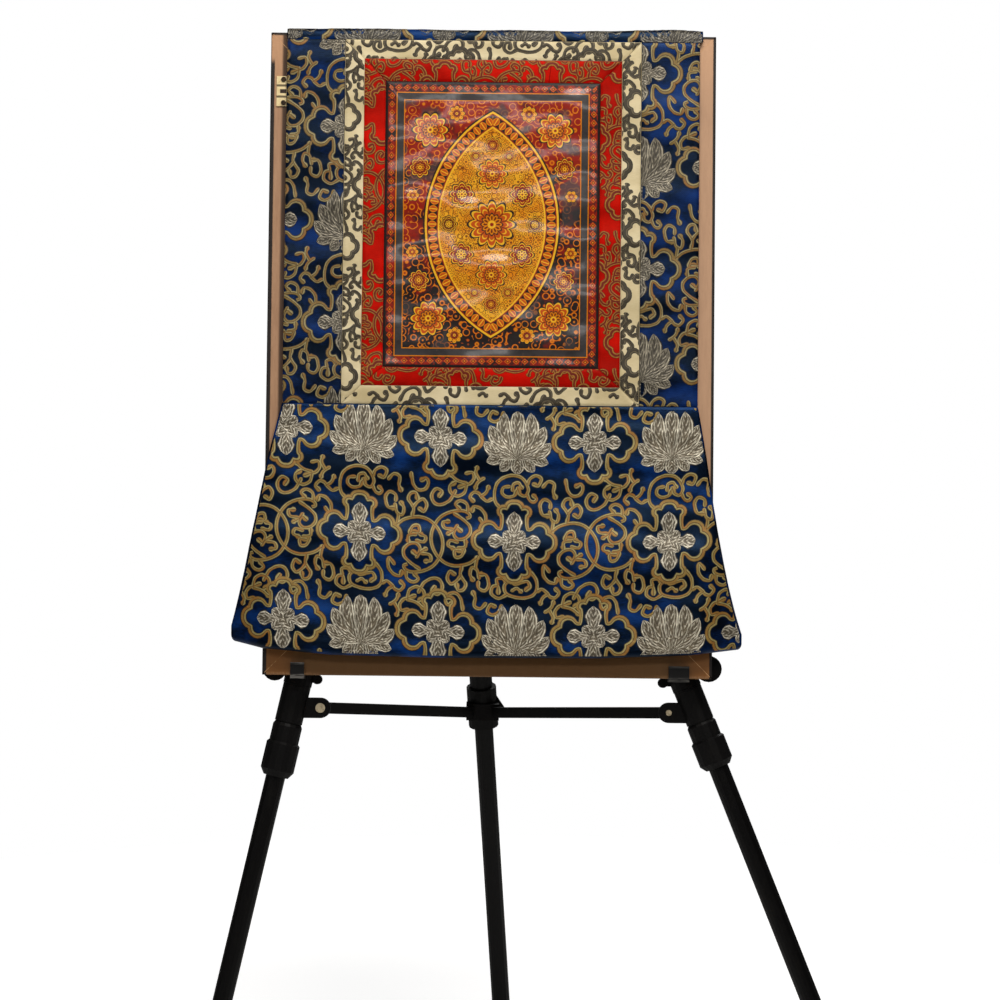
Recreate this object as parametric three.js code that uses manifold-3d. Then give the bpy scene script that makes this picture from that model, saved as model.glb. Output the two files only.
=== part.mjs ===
// A thangka scroll painting hung over the top of a framed board that stands on a tripod easel.
// Millimetres, +Z up. The painted face looks towards -Y, and the origin is on the floor under the middle.
// Board coordinates: x to the right, y from the board's face to its back, z up the board from its lower edge.

import * as THREE from 'three';
import { mergeVertices } from 'three/addons/utils/BufferGeometryUtils.js';
import Module from 'manifold-3d';

const wasm = await Module();
wasm.setup();

// Clearances
const GAP = 0.3; // between two pieces that meet
const CLEAR = 3.5; // from the board's face to the back of the cloth

// Board
const BOARD_WIDTH = 458;
const BOARD_HEIGHT = 660;
const BOARD_DEPTH = 22;
const RAIL_WIDTH = 32;
const RAIL_CHAMFER = 2;
const PANEL_DEPTH = 6;
const BOARD_LIFT = 500; // lower front edge above the floor
const LEAN = THREE.MathUtils.degToRad(8);

// Cloth, by the heights of its seams up the board and half its widths
const CLOTH = 1.6;
const HEAD_SEAM = 652;
const RED_TOP = 632;
const PAINTING_TOP = 609;
const PAINTING_BOTTOM = 315;
const RED_BOTTOM = 296;
const SKIRT_SEAM = 277;
const PAINTING_HALF = 110;
const RED_HALF = 132;
const CREAM_HALF = 152;
const CLOTH_HALF = 212;
const FLAP_END = 634; // lower edge of the heading behind the board
const HEM_RADIUS = 6;
const SKIRT_SWELL = 15; // how far the hem stands off the board beyond the clearance
const CORNER_CURL = 26; // how far the skirt's lower corners curl back
const CURL_START = 214;

// Outline of the skirt: drop below its seam, and the reach of each edge from the middle
const SKIRT_EDGE = [
  { drop: 0, left: 212, right: 212 },
  { drop: 40, left: 221, right: 219 },
  { drop: 82, left: 230, right: 225 },
  { drop: 158, left: 243, right: 237 },
  { drop: 202, left: 252, right: 247 },
  { drop: 250, left: 262, right: 260 },
];

// Lower edge of the hem: x across the board and the height of the roll's middle
const HEM_LINE = [
  { x: -262, height: 41 },
  { x: -228, height: 33 },
  { x: -159, height: 27 },
  { x: -48, height: 25 },
  { x: 114, height: 26 },
  { x: 205, height: 30 },
  { x: 260, height: 37 },
];

// Soft creases left by rolling the scroll: the height at which each crosses the middle, half its height, how far
// it stands out, how much it climbs from the left edge to the right, and where across it is strongest.
const CREASES = [
  { height: 622, reach: 14, proud: 1.6, climb: -14, middle: -170, spread: 150 },
  { height: 574, reach: 17, proud: 2.2, climb: 12, middle: 190, spread: 190 },
  { height: 551, reach: 15, proud: 1.8, climb: 6, middle: -190, spread: 130 },
  { height: 522, reach: 13, proud: 1.5, climb: 4, middle: -120, spread: 190 },
  { height: 484, reach: 15, proud: 2.3, climb: 8, middle: 20, spread: 330 },
  { height: 447, reach: 14, proud: 1.6, climb: 10, middle: 180, spread: 150 },
  { height: 417, reach: 16, proud: 2.2, climb: -8, middle: -110, spread: 210 },
  { height: 381, reach: 15, proud: 1.9, climb: 9, middle: 150, spread: 200 },
  { height: 352, reach: 13, proud: 1.8, climb: -6, middle: -160, spread: 170 },
  { height: 309, reach: 15, proud: 2.0, climb: 5, middle: 0, spread: 300 },
  { height: 226, reach: 22, proud: 4.0, climb: 12, middle: -60, spread: 260 },
  { height: 128, reach: 26, proud: 5.5, climb: -16, middle: 40, spread: 280 },
];

// Places where the heading lifts off the top of the board
const HEADING_LIFTS = [
  { at: -120, reach: 55, rise: 0.9 },
  { at: 30, reach: 45, rise: 0.7 },
  { at: 178, reach: 55, rise: 2.6 },
];

// Easel: the three legs meet at the apex, behind the board
const LEG_PLANE = 37.5; // board y of the front legs' middle lines
const APEX_X = -52.7;
const APEX_Z = 628.7;
const REAR_ASIDE = 0.068; // how far the rear leg moves right, and back, for each unit that it drops
const REAR_BACK = 0.222;
const UPPER_RADIUS = 12.5;
const LOWER_RADIUS = 10.2;
const LUG_LENGTH = 84; // from the apex to the end of the head's lugs
const LUG_RADIUS = 14;
const HUB_DROP = 668; // of the rear leg's hub below the apex
const HUB_LENGTH = 46;
const HUB_RADIUS = 16.5;
const FOOT_LENGTH = 38;
const FOOT_RADIUS = 14.5;
const BRACE_HEIGHT = 11.5;
const BRACE_DEPTH = 5;
const EAR_RADIUS = 10.5;
const EAR_FRONT = 33; // board y of an ear's two faces
const EAR_BACK = 42;

// Front legs: how far each goes outwards per unit of drop, the heights of its fittings up the board, and the
// places of its rivet, knob and peg
const FRONT_LEGS = [
  {
    side: 'left', spread: -0.2231, clampTop: 24, jointTop: -10, collarTop: -49, collarBottom: -104,
    rivetX: -171, rivetZ: -33.6, rivetRadius: 5, knobX: -217.8, knobZ: 6, knobRadius: 12, pegX: -193, pegWidth: 14,
  },
  {
    side: 'right', spread: 0.4052, clampTop: 24, jointTop: -10, collarTop: -44, collarBottom: -90,
    rivetX: 187, rivetZ: -35, rivetRadius: 3, knobX: 227, knobZ: 10.5, knobRadius: 13.5, pegX: 195, pegWidth: 21,
  },
];

// Profile of a leg's twist collar: how far along it, and its radius there
const COLLAR_PROFILE = [
  { along: 0, radius: 0 },
  { along: 0, radius: 13.6 },
  { along: 0.06, radius: 15.4 },
  { along: 0.36, radius: 15.4 },
  { along: 0.4, radius: 17.6 },
  { along: 0.88, radius: 17.6 },
  { along: 1, radius: 13 },
  { along: 1, radius: 0 },
];

const FINISHES = {
  blueBrocade: { color: 0x17335f, roughness: 0.5, metalness: 0 },
  creamBrocade: { color: 0xc9bda0, roughness: 0.6, metalness: 0 },
  redBrocade: { color: 0xb01a10, roughness: 0.55, metalness: 0 },
  paintedCloth: { color: 0xa8622a, roughness: 0.4, metalness: 0 },
  wood: { color: 0xb88a66, roughness: 0.6, metalness: 0 },
  blackTube: { color: 0x0d0c0b, roughness: 0.35, metalness: 0.2 },
  blackPlastic: { color: 0x101010, roughness: 0.5, metalness: 0 },
  rubber: { color: 0x161616, roughness: 0.9, metalness: 0 },
  brass: { color: 0xc9b07a, roughness: 0.35, metalness: 1 },
  steel: { color: 0xb8b6b0, roughness: 0.3, metalness: 1 },
};

const boardFrame = new THREE.Matrix4().makeRotationX(-LEAN).setPosition(0, 0, BOARD_LIFT);
const AXIS_Y = new THREE.Vector3(0, 1, 0);

function piece(name, finish, geometry) {
  const mesh = new THREE.Mesh(geometry, new THREE.MeshStandardMaterial(FINISHES[finish]));
  mesh.name = name;
  return mesh;
}

function toSolid(geometry) {
  const bare = new THREE.BufferGeometry().setAttribute('position', geometry.getAttribute('position'));
  bare.setIndex(geometry.index);
  const merged = mergeVertices(bare, 1e-4);
  const vertProperties = merged.getAttribute('position').array;
  const triVerts = new Uint32Array(merged.index.array);
  return new wasm.Manifold(new wasm.Mesh({ numProp: 3, vertProperties, triVerts }));
}

function toGeometry(solid) {
  const mesh = solid.getMesh();
  return new THREE.BufferGeometry()
    .setAttribute('position', new THREE.BufferAttribute(mesh.vertProperties, 3))
    .setIndex(new THREE.BufferAttribute(mesh.triVerts, 1));
}

const joined = (geometries) => toGeometry(wasm.Manifold.union(geometries.map(toSolid)));

// Value of a table's column between its rows
function between(table, key, column, at) {
  const next = table.findIndex((row) => row[key] >= at);
  if (next === 0) return table[0][column];
  if (next < 0) return table[table.length - 1][column];
  const [low, high] = [table[next - 1], table[next]];
  return THREE.MathUtils.mapLinear(at, low[key], high[key], low[column], high[column]);
}

const bell = (distance) => Math.exp(-distance * distance);

// A sheet over a grid. face gives its front and lining its back at a share across and a share down.
function sheetGeometry(columns, rows, face, lining) {
  const points = [];
  const indices = [];
  for (const side of [face, lining]) {
    for (let i = 0; i <= columns; i++) {
      for (let j = 0; j <= rows; j++) points.push(...side(i / columns, j / rows));
    }
  }
  const back = (columns + 1) * (rows + 1);
  const at = (i, j) => i * (rows + 1) + j;
  for (let i = 0; i < columns; i++) {
    for (let j = 0; j < rows; j++) {
      const [a, b, c, d] = [at(i, j), at(i + 1, j), at(i + 1, j + 1), at(i, j + 1)];
      indices.push(a, d, c, a, c, b);
      indices.push(back + a, back + c, back + d, back + a, back + b, back + c);
    }
  }
  const rim = [];
  for (let j = 0; j < rows; j++) rim.push(at(0, j));
  for (let i = 0; i < columns; i++) rim.push(at(i, rows));
  for (let j = rows; j > 0; j--) rim.push(at(columns, j));
  for (let i = columns; i > 0; i--) rim.push(at(i, 0));
  rim.forEach((p, k) => {
    const q = rim[(k + 1) % rim.length];
    indices.push(p, back + p, back + q, p, back + q, q);
  });
  return new THREE.BufferGeometry()
    .setAttribute('position', new THREE.Float32BufferAttribute(points, 3))
    .setIndex(indices);
}

// Corners moved in from every side of an outline that runs counter-clockwise
function inset(corners, by) {
  const sides = corners.map((from, i) => {
    const along = corners[(i + 1) % corners.length].clone().sub(from).normalize();
    const inward = new THREE.Vector2(-along.y, along.x).multiplyScalar(by);
    return { along, point: from.clone().add(inward) };
  });
  return sides.map((side, i) => {
    const last = sides[(i + corners.length - 1) % corners.length];
    const step = side.point.clone().sub(last.point).cross(side.along) / last.along.cross(side.along);
    return last.point.clone().addScaledVector(last.along, step);
  });
}

// How far the back of the cloth stands in front of the board's face
function standOff(x, z) {
  let proud = CLEAR;
  for (const crease of CREASES) {
    const line = crease.height + crease.climb * (x / (2 * CLOTH_HALF));
    proud += crease.proud * bell((z - line) / crease.reach) * bell((x - crease.middle) / crease.spread);
  }
  return proud;
}

// A flat-cut piece of the scroll. corners: lower left, lower right, upper right and upper left.
function panelGeometry(corners, columns, rows) {
  const cut = inset(corners.map(([x, z]) => new THREE.Vector2(x, z)), GAP / 2);
  const place = (across, down) => {
    const lower = cut[0].clone().lerp(cut[1], across);
    return lower.lerp(cut[3].clone().lerp(cut[2], across), 1 - down);
  };
  const layer = (thickness) => (across, down) => {
    const { x, y } = place(across, down);
    return [x, -standOff(x, y) - thickness, y];
  };
  return sheetGeometry(columns, rows, layer(CLOTH), layer(0));
}

// A border of four mitred strips round the painting, each with its own outer and inner lines
function borderStrips(name, finish, outer, inner, columns, rows) {
  const [ol, or, ob, ot] = [-outer.half, outer.half, outer.bottom, outer.top];
  const [il, ir, ib, it] = [-inner.half, inner.half, inner.bottom, inner.top];
  return [
    piece(`${name}_top`, finish, panelGeometry([[il, it], [ir, it], [or, ot], [ol, ot]], columns, 2)),
    piece(`${name}_bottom`, finish, panelGeometry([[ol, ob], [or, ob], [ir, ib], [il, ib]], columns, 2)),
    piece(`${name}_left`, finish, panelGeometry([[ol, ob], [il, ib], [il, it], [ol, ot]], 1, rows)),
    piece(`${name}_right`, finish, panelGeometry([[ir, ib], [or, ob], [or, ot], [ir, it]], 1, rows)),
  ];
}

// The heading band: up behind the board, over its top and down to the first seam
function headingGeometry(columns) {
  const bend = BOARD_HEIGHT + GAP - CLEAR;
  const rows = [{ y: BOARD_DEPTH, z: FLAP_END, turn: 0 }];
  for (let turn = 0; turn <= 90; turn += 30) rows.push({ y: BOARD_DEPTH, z: bend, turn });
  for (let turn = 90; turn <= 180; turn += 30) rows.push({ y: 0, z: bend, turn });
  rows.push({ y: 0, z: HEAD_SEAM + GAP / 2, turn: 180 });
  const layer = (thickness) => (across, down) => {
    const row = rows[Math.round(down * (rows.length - 1))];
    const x = THREE.MathUtils.lerp(-CLOTH_HALF, CLOTH_HALF + 3, across);
    const turn = THREE.MathUtils.degToRad(row.turn);
    const lift = HEADING_LIFTS.reduce((sum, { at, reach, rise }) => sum + rise * bell((x - at) / reach), 0);
    const reach = CLEAR + thickness;
    return [x, row.y + reach * Math.cos(turn), row.z + (reach + lift) * Math.sin(turn)];
  };
  return sheetGeometry(columns, rows.length - 1, layer(CLOTH), layer(0));
}

// The skirt: it flares, swells out towards its hem, curls back at the corners and ends in a rolled hem.
// The hem's rows are turns round the roll, from above its middle to its lowest point.
function skirtGeometry(columns, rows) {
  const turns = [62, 30, 0, -30, -60, -82].map(THREE.MathUtils.degToRad);
  const last = rows + turns.length;
  const place = (across, down) => {
    const row = Math.round(down * last);
    const top = SKIRT_SEAM - GAP / 2;
    const share = Math.min(row / rows, 1);
    const drop = share * (SKIRT_SEAM - 30);
    const left = between(SKIRT_EDGE, 'drop', 'left', drop);
    const right = between(SKIRT_EDGE, 'drop', 'right', drop);
    const x = THREE.MathUtils.lerp(-left, right, across);
    const roll = between(HEM_LINE, 'x', 'height', x);
    const z = THREE.MathUtils.lerp(top, roll + HEM_RADIUS + 3, share);
    const curl = CORNER_CURL * THREE.MathUtils.smoothstep(Math.abs(x), CURL_START, 264);
    const proud = standOff(x, z) + SKIRT_SWELL * share ** 1.4 - curl * share ** 1.5;
    const turn = row > rows ? turns[row - rows - 1] : null;
    return { x, z, roll, turn, face: -proud - CLOTH };
  };
  const face = (across, down) => {
    const { x, z, roll, turn, face } = place(across, down);
    if (turn === null) return [x, face, z];
    const tuck = turn < 0 ? HEM_RADIUS * (1 - Math.cos(turn)) : 0;
    return [x, face + tuck, roll + HEM_RADIUS * Math.sin(turn)];
  };
  const lining = (across, down) => {
    const { x, z, roll, turn, face } = place(across, down);
    if (turn === null) return [x, face + CLOTH, z];
    return [x, face + HEM_RADIUS * (1 + Math.cos(turn)), roll + HEM_RADIUS * Math.sin(turn)];
  };
  return sheetGeometry(columns, last, face, lining);
}

// A plate whose outline lies in the board's plane, between two board depths
function plateGeometry(outline, front, back, chamfer = 0) {
  const options = { depth: back - front - 2 * chamfer, curveSegments: 8, bevelEnabled: chamfer > 0 };
  Object.assign(options, { bevelThickness: chamfer, bevelSize: chamfer, bevelOffset: -chamfer, bevelSegments: 1 });
  const geometry = new THREE.ExtrudeGeometry(outline, options);
  return geometry.rotateX(Math.PI / 2).translate(0, back - chamfer, 0);
}

function railGeometry(corners) {
  const cut = inset(corners.map(([x, z]) => new THREE.Vector2(x, z)), GAP / 2);
  return plateGeometry(new THREE.Shape(cut), 0, BOARD_DEPTH, RAIL_CHAMFER);
}

function boxGeometry(left, right, front, back, bottom, top) {
  const box = new THREE.BoxGeometry(right - left, back - front, top - bottom);
  return box.translate((left + right) / 2, (front + back) / 2, (bottom + top) / 2);
}

// A round disc that faces the front
function discGeometry(x, z, radius, front, back) {
  const disc = new THREE.CylinderGeometry(radius, radius, back - front, 20);
  return disc.translate(x, (front + back) / 2, z);
}

const turnTo = (direction) => new THREE.Quaternion().setFromUnitVectors(AXIS_Y, direction);

// A round bar between two points
function barGeometry(from, to, radius) {
  const bar = new THREE.CylinderGeometry(radius, radius, from.distanceTo(to), 16);
  const direction = to.clone().sub(from).normalize();
  const middle = from.clone().lerp(to, 0.5);
  return bar.applyQuaternion(turnTo(direction)).translate(...middle);
}

// A turned piece between two points
function turnedGeometry(from, to, profile) {
  const length = from.distanceTo(to);
  const points = profile.map(({ along, radius }) => new THREE.Vector2(radius, along * length));
  const direction = to.clone().sub(from).normalize();
  return new THREE.LatheGeometry(points, 16).applyQuaternion(turnTo(direction)).translate(...from);
}

const fromBoard = (x, y, z) => new THREE.Vector3(x, y, z).applyMatrix4(boardFrame);
const onBoard = (geometry) => geometry.applyMatrix4(boardFrame);

// Cloth
const cloth = new THREE.Group();
const paintingEdge = { half: PAINTING_HALF, bottom: PAINTING_BOTTOM, top: PAINTING_TOP };
const redEdge = { half: RED_HALF, bottom: RED_BOTTOM, top: RED_TOP };
const creamEdge = { half: CREAM_HALF, bottom: SKIRT_SEAM, top: HEAD_SEAM };
const rectangle = (left, right, bottom, top) => [[left, bottom], [right, bottom], [right, top], [left, top]];
const paintingCut = rectangle(-PAINTING_HALF, PAINTING_HALF, PAINTING_BOTTOM, PAINTING_TOP);
cloth.add(
  piece('painting', 'paintedCloth', panelGeometry(paintingCut, 10, 26)),
  ...borderStrips('red', 'redBrocade', redEdge, paintingEdge, 12, 28),
  ...borderStrips('cream', 'creamBrocade', creamEdge, redEdge, 14, 32),
);
const leftSide = rectangle(-CLOTH_HALF, -CREAM_HALF, SKIRT_SEAM, HEAD_SEAM);
const rightSide = rectangle(CREAM_HALF, CLOTH_HALF, SKIRT_SEAM, HEAD_SEAM);
cloth.add(
  piece('side_left', 'blueBrocade', panelGeometry(leftSide, 4, 32)),
  piece('side_right', 'blueBrocade', panelGeometry(rightSide, 4, 32)),
  piece('heading', 'blueBrocade', headingGeometry(24)),
  piece('skirt', 'blueBrocade', skirtGeometry(26, 18)),
);

// Board
const board = new THREE.Group();
const [half, height, rail] = [BOARD_WIDTH / 2, BOARD_HEIGHT, RAIL_WIDTH];
const rails = {
  top: [[rail - half, height - rail], [half - rail, height - rail], [half, height], [-half, height]],
  bottom: [[-half, 0], [half, 0], [half - rail, rail], [rail - half, rail]],
  left: [[-half, 0], [rail - half, rail], [rail - half, height - rail], [-half, height]],
  right: [[half - rail, rail], [half, 0], [half, height], [half - rail, height - rail]],
};
for (const [name, corners] of Object.entries(rails)) {
  board.add(piece(`board_rail_${name}`, 'wood', railGeometry(corners)));
}
const opening = rail + GAP;
const panelFront = (BOARD_DEPTH - PANEL_DEPTH) / 2;
const panel = [opening - half, half - opening, panelFront, panelFront + PANEL_DEPTH, opening, height - opening];
board.add(piece('board_panel', 'wood', boxGeometry(...panel)));

// Brass catch on the left rail: a plate with two grooves, and its screws
const catchFront = -1.5;
const catchPlate = toSolid(boxGeometry(-222.4, -212.3, catchFront, -GAP, 583, 614));
const grooves = [592.5, 604].map((z) => toSolid(boxGeometry(-223, -212, catchFront - 1, catchFront + 0.6, z, z + 1.4)));
board.add(piece('catch_plate', 'brass', toGeometry(catchPlate.subtract(wasm.Manifold.union(grooves)))));
for (const [name, z] of [['upper', 610.6], ['lower', 586.4]]) {
  const screw = discGeometry(-215.2, z, 2.6, catchFront - 1.2, catchFront - GAP);
  board.add(piece(`catch_screw_${name}`, 'steel', screw));
}

// Pegs that carry the board: a tongue under the lower rail with a lip in front of it
for (const { side, pegX, pegWidth } of FRONT_LEGS) {
  const [left, right] = [pegX - pegWidth / 2, pegX + pegWidth / 2];
  const tongue = boxGeometry(left, right, -3.4, BOARD_DEPTH + 0.2, -3.2, -GAP);
  const lip = boxGeometry(left, right, -3.4, -0.8, -3.2, 13);
  board.add(piece(`peg_${side}`, 'steel', joined([tongue, lip])));
}

// Easel
const easel = new THREE.Group();
const apex = fromBoard(APEX_X, LEG_PLANE, APEX_Z);
const rearDirection = new THREE.Vector3(REAR_ASIDE, REAR_BACK, -1).normalize();
const rearAt = (drop) => apex.clone().addScaledVector(rearDirection, drop / -rearDirection.z);
const frontAt = ({ spread }, z) => fromBoard(APEX_X + spread * (APEX_Z - z), LEG_PLANE, z);
const downLeg = (leg) => frontAt(leg, 0).sub(apex).normalize();
const downFrom = (point, direction, distance) => point.clone().addScaledVector(direction, distance);
const toFloor = (point, direction) => downFrom(point, direction, point.z / -direction.z);

const legDirections = [...FRONT_LEGS.map(downLeg), rearDirection];
const lugs = legDirections.map((way) => barGeometry(downFrom(apex, way, 14), downFrom(apex, way, LUG_LENGTH), LUG_RADIUS));
const headBack = BOARD_DEPTH + 48;
const headBlock = boxGeometry(APEX_X - 27, APEX_X + 27, BOARD_DEPTH + GAP, headBack, APEX_Z - 48, APEX_Z - 6);
easel.add(piece('head', 'blackPlastic', joined([onBoard(headBlock), ...lugs])));

function addFoot(name, foot, direction) {
  const top = downFrom(foot, direction, -FOOT_LENGTH);
  const boot = toSolid(barGeometry(top, downFrom(foot, direction, 2 * FOOT_RADIUS), FOOT_RADIUS));
  easel.add(piece(name, 'rubber', toGeometry(boot.trimByPlane([0, 0, 1], 0))));
  return downFrom(top, direction, -GAP);
}

for (const leg of FRONT_LEGS) {
  const { side, clampTop, jointTop, collarTop, collarBottom, rivetX, rivetZ, knobX, knobZ } = leg;
  const direction = downLeg(leg);
  const add = (name, finish, geometry) => easel.add(piece(`leg_${side}_${name}`, finish, geometry));
  const upperTop = downFrom(apex, direction, LUG_LENGTH + GAP);
  add('upper', 'blackTube', barGeometry(upperTop, frontAt(leg, clampTop + GAP), UPPER_RADIUS));

  const legX = APEX_X + leg.spread * (APEX_Z - knobZ);
  const inboard = legX - Math.sign(leg.spread) * 17;
  const sleeve = barGeometry(frontAt(leg, clampTop), frontAt(leg, jointTop), 15);
  const knobArm = boxGeometry(Math.min(legX, knobX), Math.max(legX, knobX), 29.7, 44, knobZ - 7, knobZ + 7);
  const nubArm = boxGeometry(Math.min(legX, inboard), Math.max(legX, inboard), 34, 42, -8, 0);
  const nub = discGeometry(inboard, -4.5, 5, 31, 44);
  add('clamp', 'blackPlastic', joined([sleeve, ...[knobArm, nubArm, nub].map(onBoard)]));
  easel.add(piece(`knob_${side}`, 'blackPlastic', onBoard(discGeometry(knobX, knobZ, leg.knobRadius, 23, 29.4))));

  const sleeveX = APEX_X + leg.spread * (APEX_Z - rivetZ);
  const ear = new THREE.Shape();
  const inward = Math.sign(rivetX - sleeveX);
  ear.moveTo(sleeveX, rivetZ - EAR_RADIUS).lineTo(rivetX, rivetZ - EAR_RADIUS);
  ear.absarc(rivetX, rivetZ, EAR_RADIUS, -Math.PI / 2, Math.PI / 2, inward < 0);
  ear.lineTo(sleeveX, rivetZ + EAR_RADIUS);
  const barrel = barGeometry(frontAt(leg, jointTop - GAP), frontAt(leg, collarTop + GAP), 14.5);
  add('joint', 'blackPlastic', joined([barrel, onBoard(plateGeometry(ear, EAR_FRONT, EAR_BACK))]));
  const rivet = discGeometry(rivetX, rivetZ, leg.rivetRadius, EAR_FRONT - GAP - 1.6, EAR_FRONT - GAP);
  easel.add(piece(`rivet_${side}`, 'steel', onBoard(rivet)));

  const collarEnd = frontAt(leg, collarBottom);
  add('collar', 'blackPlastic', turnedGeometry(frontAt(leg, collarTop), collarEnd, COLLAR_PROFILE));
  const ankle = addFoot(`leg_${side}_foot`, toFloor(apex, direction), direction);
  add('lower', 'blackTube', barGeometry(downFrom(collarEnd, direction, GAP), ankle, LOWER_RADIUS));
}

// Rear leg, with the hub that the braces meet
const hubTop = rearAt(HUB_DROP);
const hubEnd = downFrom(hubTop, rearDirection, HUB_LENGTH);
const hubMiddle = hubTop.clone().lerp(hubEnd, 0.6);
const yokeFront = hubMiddle.y - HUB_RADIUS - 4;
const rearTop = downFrom(apex, rearDirection, LUG_LENGTH + GAP);
const hubX = hubMiddle.x;
const yoke = boxGeometry(hubX - 18, hubX + 18, yokeFront, hubMiddle.y, hubMiddle.z - 9, hubMiddle.z + 9);
const web = new THREE.Shape();
web.moveTo(hubX, hubMiddle.z - 6).lineTo(hubX + 30, hubMiddle.z - 6).lineTo(hubX + 9, hubTop.z - 2);
web.lineTo(hubX, hubTop.z - 2);
const webPlate = plateGeometry(web, hubMiddle.y - 5, hubMiddle.y + 3);
easel.add(
  piece('leg_rear_upper', 'blackTube', barGeometry(rearTop, downFrom(hubTop, rearDirection, -GAP), UPPER_RADIUS)),
  piece('leg_rear_hub', 'blackPlastic', joined([barGeometry(hubTop, hubEnd, HUB_RADIUS), yoke, webPlate])),
);
const rearAnkle = addFoot('leg_rear_foot', toFloor(apex, rearDirection), rearDirection);
easel.add(
  piece('leg_rear_lower', 'blackTube', barGeometry(downFrom(hubEnd, rearDirection, GAP), rearAnkle, LOWER_RADIUS)),
);

// Braces from the front legs' ears to the yoke. Each end stops a gap short of the face that it meets.
const boardNormal = new THREE.Vector3(0, 1, 0).transformDirection(boardFrame);
for (const { side, rivetX, rivetZ, spread } of FRONT_LEGS) {
  const from = fromBoard(rivetX, EAR_BACK, rivetZ);
  const to = new THREE.Vector3(hubX + Math.sign(spread) * 10, yokeFront, hubMiddle.z);
  const along = to.clone().sub(from).normalize();
  const upright = new THREE.Vector3(0, 0, 1).addScaledVector(along, -along.z).normalize();
  const across = new THREE.Vector3().crossVectors(upright, along);
  const short = (normal) => {
    const lead = BRACE_DEPTH * Math.abs(across.dot(normal)) + BRACE_HEIGHT * Math.abs(upright.dot(normal));
    return (GAP + lead / 2) / Math.abs(along.dot(normal));
  };
  const start = downFrom(from, along, short(boardNormal));
  const end = downFrom(to, along, -short(AXIS_Y));
  const bar = new THREE.BoxGeometry(start.distanceTo(end), BRACE_DEPTH, BRACE_HEIGHT);
  const middle = start.clone().lerp(end, 0.5);
  bar.applyMatrix4(new THREE.Matrix4().makeBasis(along, across, upright).setPosition(middle));
  easel.add(piece(`brace_${side}`, 'blackTube', bar));
}

const leaning = new THREE.Group();
leaning.add(cloth, board);
leaning.applyMatrix4(boardFrame);

const display = new THREE.Group();
display.add(leaning, easel);
display.updateMatrixWorld(true);
const bounds = new THREE.Box3().setFromObject(display, true);
const centre = bounds.getCenter(new THREE.Vector3());
display.position.set(-centre.x, -centre.y, -bounds.min.z);

const part = new THREE.Group();
part.add(display);
export default part;
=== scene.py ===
import math
import bmesh
import bpy
import numpy as np
from mathutils import Matrix, Vector


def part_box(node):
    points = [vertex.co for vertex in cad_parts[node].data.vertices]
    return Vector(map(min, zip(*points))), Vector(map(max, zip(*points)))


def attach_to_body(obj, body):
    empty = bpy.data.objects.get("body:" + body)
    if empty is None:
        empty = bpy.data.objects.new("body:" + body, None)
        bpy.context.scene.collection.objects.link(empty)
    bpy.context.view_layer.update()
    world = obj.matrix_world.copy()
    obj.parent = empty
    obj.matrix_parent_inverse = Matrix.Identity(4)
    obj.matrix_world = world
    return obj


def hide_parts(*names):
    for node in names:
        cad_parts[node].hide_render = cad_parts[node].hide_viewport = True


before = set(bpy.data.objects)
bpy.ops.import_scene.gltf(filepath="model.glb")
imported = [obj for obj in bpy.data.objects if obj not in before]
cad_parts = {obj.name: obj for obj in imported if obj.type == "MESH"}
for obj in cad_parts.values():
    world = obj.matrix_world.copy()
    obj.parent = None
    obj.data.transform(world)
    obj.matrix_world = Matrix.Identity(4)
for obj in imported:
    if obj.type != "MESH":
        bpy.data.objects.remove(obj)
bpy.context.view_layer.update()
scene = bpy.context.scene
print("frame loaded")

# Board coordinates are millimetres: x to the right, y from the board's face to its back, z up the board.
board = {"origin": (-50.546, -170.246, 500.0), "lean": math.radians(8), "height": 660, "depth": 22, "clear": 3.5}


def toWorld(points):
    points = np.asarray(points, float)
    c, s = math.cos(board["lean"]), math.sin(board["lean"])
    x, y, z = points[:, 0], points[:, 1], points[:, 2]
    turned = np.stack([x, y * c + z * s, z * c - y * s], 1)
    return (turned + np.array(board["origin"])) / 1000


def attach(name, data):
    item = bpy.data.objects.new(name, data)
    scene.collection.objects.link(item)
    return item


# Camera and light

view = {"place": (-0.0392, -3.1935, 0.9454), "down": 5.0, "roll": 0.6, "lens": 108, "sensor": 36, "far": 60}
cameraData = bpy.data.cameras.new("photoCamera")
cameraData.lens = view["lens"]
cameraData.sensor_width = view["sensor"]
cameraData.clip_end = view["far"]
camera = attach("photoCamera", cameraData)
tilt = Matrix.Rotation(math.radians(90 - view["down"]), 4, "X")
camera.matrix_world = Matrix.Translation(view["place"]) @ tilt @ Matrix.Rotation(math.radians(view["roll"]), 4, "Z")
scene.camera = camera
scene.view_settings.view_transform = "Standard"


def areaLight(name, place, target, size, power, colour=(1, 1, 1)):
    data = bpy.data.lights.new(name, "AREA")
    data.shape = "RECTANGLE"
    data.size, data.size_y = size
    data.energy = power
    data.color = colour
    lamp = attach(name, data)
    way = Matrix.Translation(place).translation - Matrix.Translation(target).translation
    lamp.matrix_world = Matrix.Translation(place) @ way.to_track_quat("Z", "Y").to_matrix().to_4x4()


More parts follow.
